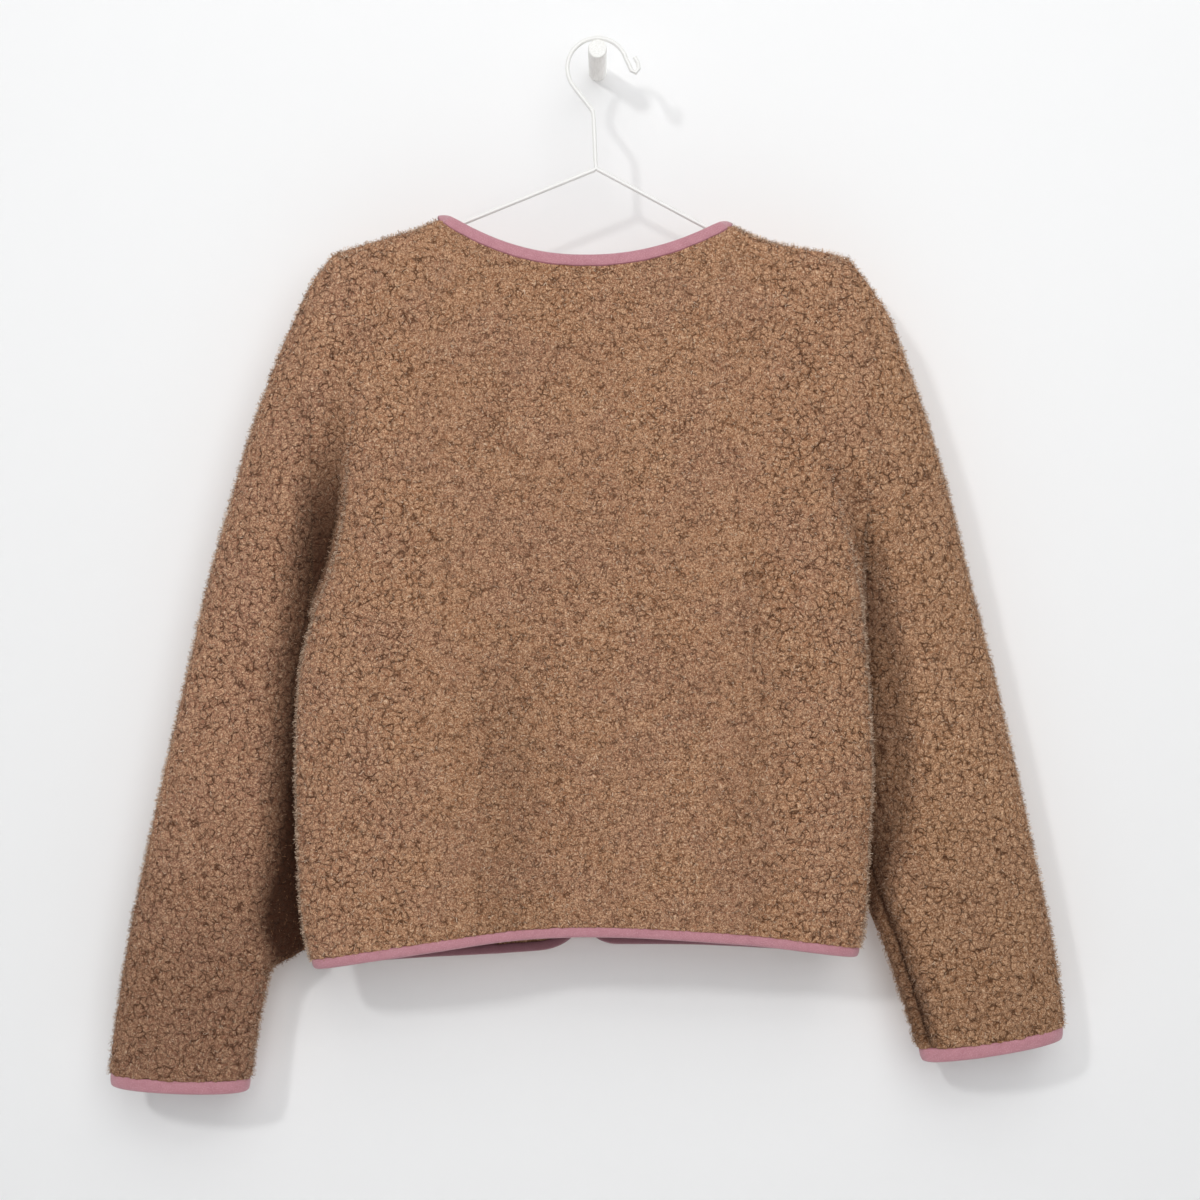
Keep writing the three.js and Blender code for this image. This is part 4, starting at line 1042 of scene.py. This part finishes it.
def strip(name, run, leg, seed, inner_leg=None, shade=(0.0, 0.0)):
    """A folded strip along a run. shade is how much painted shade its outer and inner legs get."""
    run = even(run, BINDING_PITCH)
    outside, inside = strip_section(leg, inner_leg or leg)
    section = np.concatenate([outside, inside])
    round_it = lengths_along(outside)
    across = np.concatenate([round_it, np.full(len(inside), round_it[-1])])
    count, corners = len(run["at"]), len(section)
    puff = 1 + PUFF["by"] * wander(run["length"], count, seed, PUFF["every"])
    width = UNEVEN["by"] * wander(run["length"], count, seed + 1, UNEVEN["every"])
    fade = np.ones(count)
    if run["ring"]:
        from_join = np.minimum(np.arange(count), count - np.arange(count)) * BINDING_PITCH
        fade = smooth(from_join, 0, RING_JOIN)
    through_cloth = np.repeat(section[None, :, 0], count, 0)
    bulge = np.minimum(section[None, :, 0] + PROUD, 0)
    through_cloth = through_cloth + bulge * (puff - 1)[:, None] * fade[:, None] * 2
    past = np.repeat(section[None, :, 1], count, 0)
    at_leg = np.isclose(past, -leg)
    past = past + np.where(at_leg, (width * fade)[:, None], 0)
    points = (
        run["at"][:, None]
        + run["into"][:, None] * through_cloth[..., None]
        + run["out"][:, None] * past[..., None]
    )
    # Painted shade on the inner leg.
    dark = np.repeat(mix(shade[0], shade[1], smooth(section[:, 0], -0.5, CLOTH + 0.5))[None], count, 0)
    faces = []
    spans = count if run["ring"] else count - 1
    for s in range(spans):
        t = (s + 1) % count
        for k in range(corners):
            j = (k + 1) % corners
            faces.append([s * corners + k, s * corners + j, t * corners + j, t * corners + k])
    if not run["ring"]:
        faces.append(list(range(corners))[::-1])
        faces.append([(count - 1) * corners + k for k in range(corners)])
    flat = points.reshape(-1, 3) * MM
    mesh = bpy.data.meshes.new(name)
    mesh.from_pydata(flat.tolist(), [], faces)
    mesh.polygons.foreach_set("use_smooth", [True] * len(faces))
    layer = mesh.uv_layers.new(name="strip")
    step = run["length"] / spans
    loops = np.zeros(len(mesh.loops), int)
    mesh.loops.foreach_get("vertex_index", loops)
    owner = np.repeat(np.arange(len(faces)), [len(face) for face in faces])
    first = np.minimum(owner // corners, spans - 1)
    station = loops // corners
    station = np.where(run["ring"] & (first == spans - 1) & (station == 0), count, station)
    uv = np.stack([station * step * MM, across[loops % corners] * MM], 1)
    layer.data.foreach_set("uv", uv.astype(np.float32).ravel())
    tell(mesh, "strip_shade", dark)
    mesh.update()
    piece = placed(name, mesh)
    only(piece)
    bpy.ops.object.mode_set(mode="EDIT")
    bpy.ops.mesh.select_all(action="SELECT")
    bpy.ops.mesh.normals_make_consistent(inside=False)
    bpy.ops.object.mode_set(mode="OBJECT")
    print(f"{name}: {run['length']:.0f} mm long, {len(faces)} faces")
    return piece, run["length"] * MM, round_it[-1] * MM


def upright_ends(run):
    """A hem's strip ends at the side seams, where it points straight down."""
    run = {key: (value.copy() if isinstance(value, np.ndarray) else value) for key, value in run.items()}
    run["out"][0] = run["out"][-1] = (0, 0, -1)
    return run


def front_run(panel):
    return trimmed(joined_runs(panel["edge"], backwards(panel["hem"])), EDGE_LEG + CORNER_CLEAR)


runs = {
    "binding_neck": (
        joined_runs(
            backwards(panels["front_left"]["neck"]),
            trimmed(panels["back"]["neck"], SEAM_SKIP),
            trimmed(panels["front_right"]["neck"], SEAM_SKIP),
        ),
        NECK_SHOWN,
        ["back_cloth", "front_left_cloth", "front_right_cloth"],
    ),
    "binding_hem_back": (upright_ends(panels["back"]["hem"]), HEM_SHOWN, ["back_cloth"]),
    "binding_front_left": (front_run(panels["front_left"]), EDGE_LEG, ["front_left_cloth"]),
    "binding_front_right": (front_run(panels["front_right"]), EDGE_LEG, ["front_right_cloth"]),
    "binding_cuff_left": (panels["sleeve_left"]["cuff"], CUFF_LEG, ["sleeve_left_cloth"]),
    "binding_cuff_right": (panels["sleeve_right"]["cuff"], CUFF_LEG, ["sleeve_right_cloth"]),
}
bindings = {}
for seed, (name, (run, leg, rests)) in enumerate(runs.items()):
    inner_leg = CUFF_LEG if "cuff" in name else EDGE_LEG
    # Painted shade on each binding's inner leg.
    shade = (0.0, FRONT_LEG_PAINTED_SHADE if "front" in name else LEG_PAINTED_SHADE)
    piece, length, width = strip(name + "_strip", run, leg, 10 * seed, inner_leg, shade)
    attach(piece, "root")
    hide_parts(name)
    bindings[name] = piece

# %% [markdown]
# ## The peg
#
# The peg is a turned dowel. It is a plain cylinder with its front rim eased, made where the part's peg
# stands and to the same size. The hanger's own mesh is only shaded smooth.

# %% Peg
RIM_EASED = 0.0011

low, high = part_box("wall_peg")
bpy.ops.mesh.primitive_cylinder_add(
    vertices=64,
    radius=(high.x - low.x) / 2,
    depth=high.y - low.y,
    location=(low + high) / 2,
    rotation=(math.pi / 2, 0, 0),
)
peg = bpy.context.object
peg.name = "peg_turned"
only(peg)
bpy.ops.object.transform_apply(location=True, rotation=True, scale=True)
rim = peg.modifiers.new("rim", "BEVEL")
rim.width = RIM_EASED
rim.segments = 4
rim.limit_method = "ANGLE"
bpy.ops.object.modifier_apply(modifier=rim.name)
bpy.ops.object.shade_smooth_by_angle(angle=math.radians(35))
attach(peg, "root")
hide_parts("wall_peg")
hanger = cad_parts["hanger"]
only(hanger)
bpy.ops.object.shade_smooth_by_angle(angle=math.radians(60))
print("peg:", len(peg.data.polygons), "faces")

# %% [markdown]
# ## Finishes
#
# Wool is lit softly: fine fibres catch light at a grazing angle, which is the sheen, and the cracks
# between tufts swallow it. Colour stands in for part of that: the low places of the relief get painted
# shade, and the cracks are darker still, partly the root's own colour and partly painted shade. Pale
# strands on the tufts' tops are partly pale tips and partly painted highlight, and small pale specks are
# painted glints. Wide soft patches are a little more pink, and the whole is pinker to the left and more
# golden to the right. Where pile_painted_shade says so, the valleys, the crease, the back's folds and the
# lower sleeves get painted shade, because soft light alone leaves them too pale.

# %% Finishes


def new_material(name, **sockets):
    """A material, its nodes and its shader, with what is the same all over set on the shader itself."""
    made = bpy.data.materials.new(name)
    made.use_nodes = True
    tree = made.node_tree
    shader = next(n for n in tree.nodes if n.type == "BSDF_PRINCIPLED")
    for key, value in sockets.items():
        shader.inputs[key.replace("_", " ")].default_value = value
    return made, tree, shader


def attribute(tree, name, output="Fac"):
    made = tree.nodes.new("ShaderNodeAttribute")
    made.attribute_name = name
    return made.outputs[output]


def tint(tree, share, a, b):
    made = tree.nodes.new("ShaderNodeMix")
    made.data_type = "RGBA"
    link(tree, share, made.inputs["Factor"])
    link(tree, a, made.inputs[6])
    link(tree, b, made.inputs[7])
    return made.outputs[2]


def bump(tree, height, distance, strength=1.0, normal=None):
    made = tree.nodes.new("ShaderNodeBump")
    link(tree, height, made.inputs["Height"])
    made.inputs["Distance"].default_value = distance
    made.inputs["Strength"].default_value = strength
    if normal is not None:
        tree.links.new(normal, made.inputs["Normal"])
    return made.outputs[0]


def rgb(r, g, b):
    """A colour given as it looks, 0 to 255, turned into amounts of light."""
    return (*[(v / 255 / 12.92) if v <= 10 else ((v / 255 + 0.055) / 1.055) ** 2.4 for v in (r, g, b)], 1.0)


# Among these, the crack colour is partly painted shade, the low places' and the folds' colours are painted
# shade, and the pale tips' colour is partly painted highlight.
ROOT_AND_SHADE = rgb(70, 37, 20)
WOOL = rgb(167, 119, 87)
TIP_AND_HIGHLIGHT = rgb(226, 184, 148)
SHADE = rgb(122, 82, 55)
PAINTED_FOLD_SHADE = rgb(48, 21, 9)
GRAIN = rgb(108, 70, 45)
RIB_PITCH = 0.00085

pile, tree, shader = new_material(
    "pile",
    Roughness=0.95,
    Sheen_Weight=0.15,
    Sheen_Roughness=0.6,
    Sheen_Tint=rgb(230, 190, 160),
    Specular_IOR_Level=0.1,
)
place = attribute(tree, "rest_place", "Vector")
height, crack = relief(tree, place, attribute(tree, "pile_coarse"))
mm = in_mm(tree, place)
drift = vector(tree, "SUBTRACT", noise(tree, mm, 3.0, color=True), (0.5, 0.5, 0.5))
curled = vector(tree, "ADD", mm, vector(tree, "SCALE", drift, scale=4.0))
fibre = noise(tree, curled, 2.0, detail=2.0, roughness=0.75)
strand = calc(tree, "ABSOLUTE", calc(tree, "MULTIPLY_ADD", fibre, 2.0, -1.0))
strand = ramp(tree, strand, 0.13, 0.0)
# Painted shade: the relief's low places are darker.
base = tint(tree, ramp(tree, height, 0.1, 0.7), SHADE, WOOL)
base = tint(tree, ramp(tree, noise(tree, mm, 34.0, detail=1.0), 0.35, 0.7, 0.0, 0.5), base, rgb(154, 110, 90))
place_mm = tree.nodes.new("ShaderNodeSeparateXYZ")
tree.links.new(mm, place_mm.inputs[0])
across = place_mm.outputs[0]
base = tint(tree, ramp(tree, across, -120.0, -280.0, 0.0, 0.4), base, rgb(160, 114, 98))
base = tint(tree, ramp(tree, across, 130.0, 280.0, 0.0, 0.4), base, rgb(148, 110, 76))
grain = noise(tree, curled, 1.6, detail=2.0, roughness=0.75)
base = tint(tree, ramp(tree, grain, 0.52, 0.32, 0.0, 0.72), base, GRAIN)
# Pale strands, brighter on the tufts' tops: partly pale tips, partly painted highlight.
base = tint(tree, calc(tree, "MULTIPLY", strand, ramp(tree, height, 0.1, 0.7, 0.4, 0.95)), base, TIP_AND_HIGHLIGHT)
# Painted highlight: small pale specks are painted glints.
painted_glints = ramp(tree, noise(tree, mm, 1.6, detail=0.0), 0.72, 0.79)
base = tint(tree, calc(tree, "MULTIPLY", painted_glints, 0.62), base, rgb(236, 206, 174))
# The cracks: partly the root's own colour, partly painted shade.
base = tint(tree, calc(tree, "MULTIPLY", crack, 0.85), base, ROOT_AND_SHADE)
# Painted shade in the valleys, the crease, the back's folds and the lower sleeves.
base = tint(tree, calc(tree, "MULTIPLY", attribute(tree, "pile_painted_shade"), 0.97), base, PAINTED_FOLD_SHADE)
tree.links.new(base, shader.inputs["Base Color"])
soft = bump(tree, fibre, 0.0026, 0.8)
hollow = calc(tree, "SUBTRACT", height, calc(tree, "MULTIPLY", crack, 0.4))
tree.links.new(bump(tree, hollow, 0.0017, 0.75, soft), shader.inputs["Normal"])

jersey, tree, shader = new_material("binding", Roughness=0.78, Sheen_Weight=0.3, Sheen_Roughness=0.5)
uv = tree.nodes.new("ShaderNodeUVMap")
uv.uv_map = "strip"
split = tree.nodes.new("ShaderNodeSeparateXYZ")
tree.links.new(uv.outputs[0], split.inputs[0])
mm = in_mm(tree, uv.outputs[0])
wave = calc(tree, "SINE", calc(tree, "MULTIPLY", split.outputs[0], 2 * math.pi / RIB_PITCH))
rib = calc(tree, "MULTIPLY_ADD", wave, 0.5, 0.5)
fuzz = noise(tree, mm, 0.9, detail=3.0)
shade = tint(tree, ramp(tree, rib, 0.0, 1.0), rgb(176, 115, 126), rgb(200, 143, 152))
shade = tint(tree, ramp(tree, noise(tree, mm, 7.0), 0.35, 0.7, 0.0, 0.45), shade, rgb(172, 112, 122))
shade = tint(tree, ramp(tree, fuzz, 0.45, 0.75, 0.0, 0.5), shade, rgb(218, 172, 178))
from_edge = calc(tree, "ABSOLUTE", calc(tree, "SUBTRACT", split.outputs[1], 0.0004))
shade = tint(tree, ramp(tree, from_edge, 0.0009, 0.0002, 0.0, 0.5), shade, rgb(120, 52, 62))
# Painted shade on the bindings' inner legs.
shade = tint(tree, attribute(tree, "strip_shade"), shade, rgb(84, 36, 48))
tree.links.new(shade, shader.inputs["Base Color"])
knit = calc(tree, "ADD", calc(tree, "MULTIPLY", rib, 0.5), calc(tree, "MULTIPLY", fuzz, 0.8))
tree.links.new(bump(tree, knit, 0.00035, 0.7), shader.inputs["Normal"])

coat, tree, shader = new_material(
    "wire", Roughness=0.34, Coat_Weight=0.25, Base_Color=rgb(236, 235, 232)
)
mm = in_mm(tree, tree.nodes.new("ShaderNodeTexCoord").outputs["Object"])
tree.links.new(ramp(tree, noise(tree, mm, 3.0), 0.3, 0.8, 0.28, 0.46), shader.inputs["Roughness"])
tree.links.new(bump(tree, noise(tree, mm, 0.8), 0.00008, 0.5), shader.inputs["Normal"])

paint, tree, shader = new_material("peg", Roughness=0.6)
spot = tree.nodes.new("ShaderNodeTexCoord").outputs["Object"]
grain = in_mm(tree, vector(tree, "MULTIPLY", spot, (1.0, 0.08, 1.0)))
streak = noise(tree, grain, 0.9, detail=3.0)
streaked = tint(tree, ramp(tree, streak, 0.3, 0.75), rgb(236, 235, 231), rgb(250, 249, 246))
tree.links.new(streaked, shader.inputs["Base Color"])
tree.links.new(bump(tree, streak, 0.00012, 0.5), shader.inputs["Normal"])

loose, tree, shader = new_material(
    "loose fibre", Roughness=0.9, Sheen_Weight=0.1, Specular_IOR_Level=0.1
)
# The pale end is partly the fibres' own pale colour and partly painted light, standing in for light shining
# through them.
pale = tint(tree, attribute(tree, "fibre_shade"), rgb(126, 90, 64), rgb(238, 212, 186))
tree.links.new(pale, shader.inputs["Base Color"])

finished = [(fibres.values(), loose), (cloth.values(), pile), (bindings.values(), jersey)]
for pieces, finish in [*finished, ([hanger], coat), ([peg], paint)]:
    for piece in pieces:
        piece.data.materials.clear()
        piece.data.materials.append(finish)

# %% [markdown]
# ## How each piece of cloth was cut
#
# The width of each piece of cloth is worked out: the longest row of its grid, which is laid on the flat
# cut. A sleeve is opened along its inner seam: its width is the girth square to the sleeve, where that is
# most. The measured area of the plain outer face is the area of the cut.

# %% Cuts


def longest(grid, axis):
    """The longest line of the grid along one axis, in metres."""
    return np.linalg.norm(np.diff(grid, axis=axis), axis=-1).sum(axis).max() * MM


def widest_girth(grid):
    """The most that any ring measures square to the sleeve, in metres."""
    axis = grid[-1].mean(0) - grid[0].mean(0)
    axis /= np.linalg.norm(axis)
    ring = np.diff(np.concatenate([grid, grid[:, :1]], 1), axis=1)
    ring = ring - (ring @ axis)[..., None] * axis
    return np.linalg.norm(ring, axis=-1).sum(1).max() * MM


for name, panel in panels.items():
    wide = widest_girth(panel["grid"]) if panel["closed"] else longest(panel["grid"], 1)

# %% [markdown]
# ## The room
#
# A pale wall behind, a pale floor well below, one soft lamp from the upper left and light from all round.
# The wall is seen only from its front, so the jacket can be looked at from behind. It stops no light
# either, because one soft lamp stands behind it, for the fronts, which face it.

# %% Room


def room_plane(name, paint, at, turn=(0, 0, 0)):
    bpy.ops.mesh.primitive_plane_add(size=6, location=at, rotation=turn)
    made = bpy.context.object
    made.name = name
    made.data.materials.append(paint)
    return made


wall_paint, tree, shader = new_material("wall", Roughness=0.9, Base_Color=rgb(246, 246, 246))
clear = tree.nodes.new("ShaderNodeBsdfTransparent")
choose = tree.nodes.new("ShaderNodeMixShader")
output = next(n for n in tree.nodes if n.type == "OUTPUT_MATERIAL")
behind = tree.nodes.new("ShaderNodeNewGeometry").outputs["Backfacing"]
shadow = tree.nodes.new("ShaderNodeLightPath").outputs["Is Shadow Ray"]
tree.links.new(calc(tree, "MAXIMUM", behind, shadow), choose.inputs[0])
tree.links.new(shader.outputs[0], choose.inputs[1])
tree.links.new(clear.outputs[0], choose.inputs[2])
tree.links.new(choose.outputs[0], output.inputs["Surface"])
wall = room_plane("wall", wall_paint, (0, 0.0005, -0.4), (math.pi / 2, 0, 0))
floor_paint = new_material("floor", Roughness=0.9, Base_Color=rgb(226, 226, 226))[0]
floor = room_plane("floor", floor_paint, (0, -1.5, -1.6))


def soft_lamp(name, shape, size, energy, at, turn):
    """A lamp that is not seen itself. size holds its width in metres, and its height if that differs."""
    data = bpy.data.lights.new(name, "AREA")
    data.shape = shape
    for key, length in zip(("size", "size_y"), size):
        setattr(data, key, length)
    data.energy = energy
    made = placed(name, data)
    made.location = at
    made.rotation_euler = turn
    made.visible_camera = False


KEY_AWAY = 3.2
aim = np.array([0.0, -0.06, -0.42])
toward = np.array([-0.54, -1.0, 0.54])
lamp_at = aim + toward / np.linalg.norm(toward) * KEY_AWAY
up = (lamp_at - aim) / KEY_AWAY
key_turn = (math.acos(up[2]), 0, math.atan2(up[1], up[0]) + math.pi / 2)
soft_lamp("key", "DISK", (0.3,), 20, lamp_at, key_turn)
for name, shape, size, energy, at, (tip, roll, swing) in (
    ("ceiling", "RECTANGLE", (2.4, 1.2), 12, (0.15, -1.7, 1.35), (48, 0, 4)),
    ("window", "SQUARE", (1.5,), 16.5, (0.32, -1.9, 0.15), (75, 0, 8)),
    ("rear", "SQUARE", (2.2,), 34, (0.5, 2.3, 0.5), (-68, 0, -12)),
):
    turn = (math.radians(tip), math.radians(roll), math.radians(swing))
    soft_lamp(name, shape, size, energy, at, turn)

world = bpy.data.worlds.new("room")
world.use_nodes = True
sky = world.node_tree.nodes["Background"]
sky.inputs["Color"].default_value = (0.96, 0.98, 1.0, 1.0)
sky.inputs["Strength"].default_value = 0.3
bpy.context.scene.world = world

camera_data = bpy.data.cameras.new("camera")
camera_data.lens = 56
camera_data.sensor_width = 36
camera = placed("camera", camera_data)
camera.location = (0.0019, -1.46, -0.4125)
camera.rotation_euler = (math.pi / 2, 0, 0)
bpy.context.scene.camera = camera
bpy.context.scene.view_settings.view_transform = "Standard"
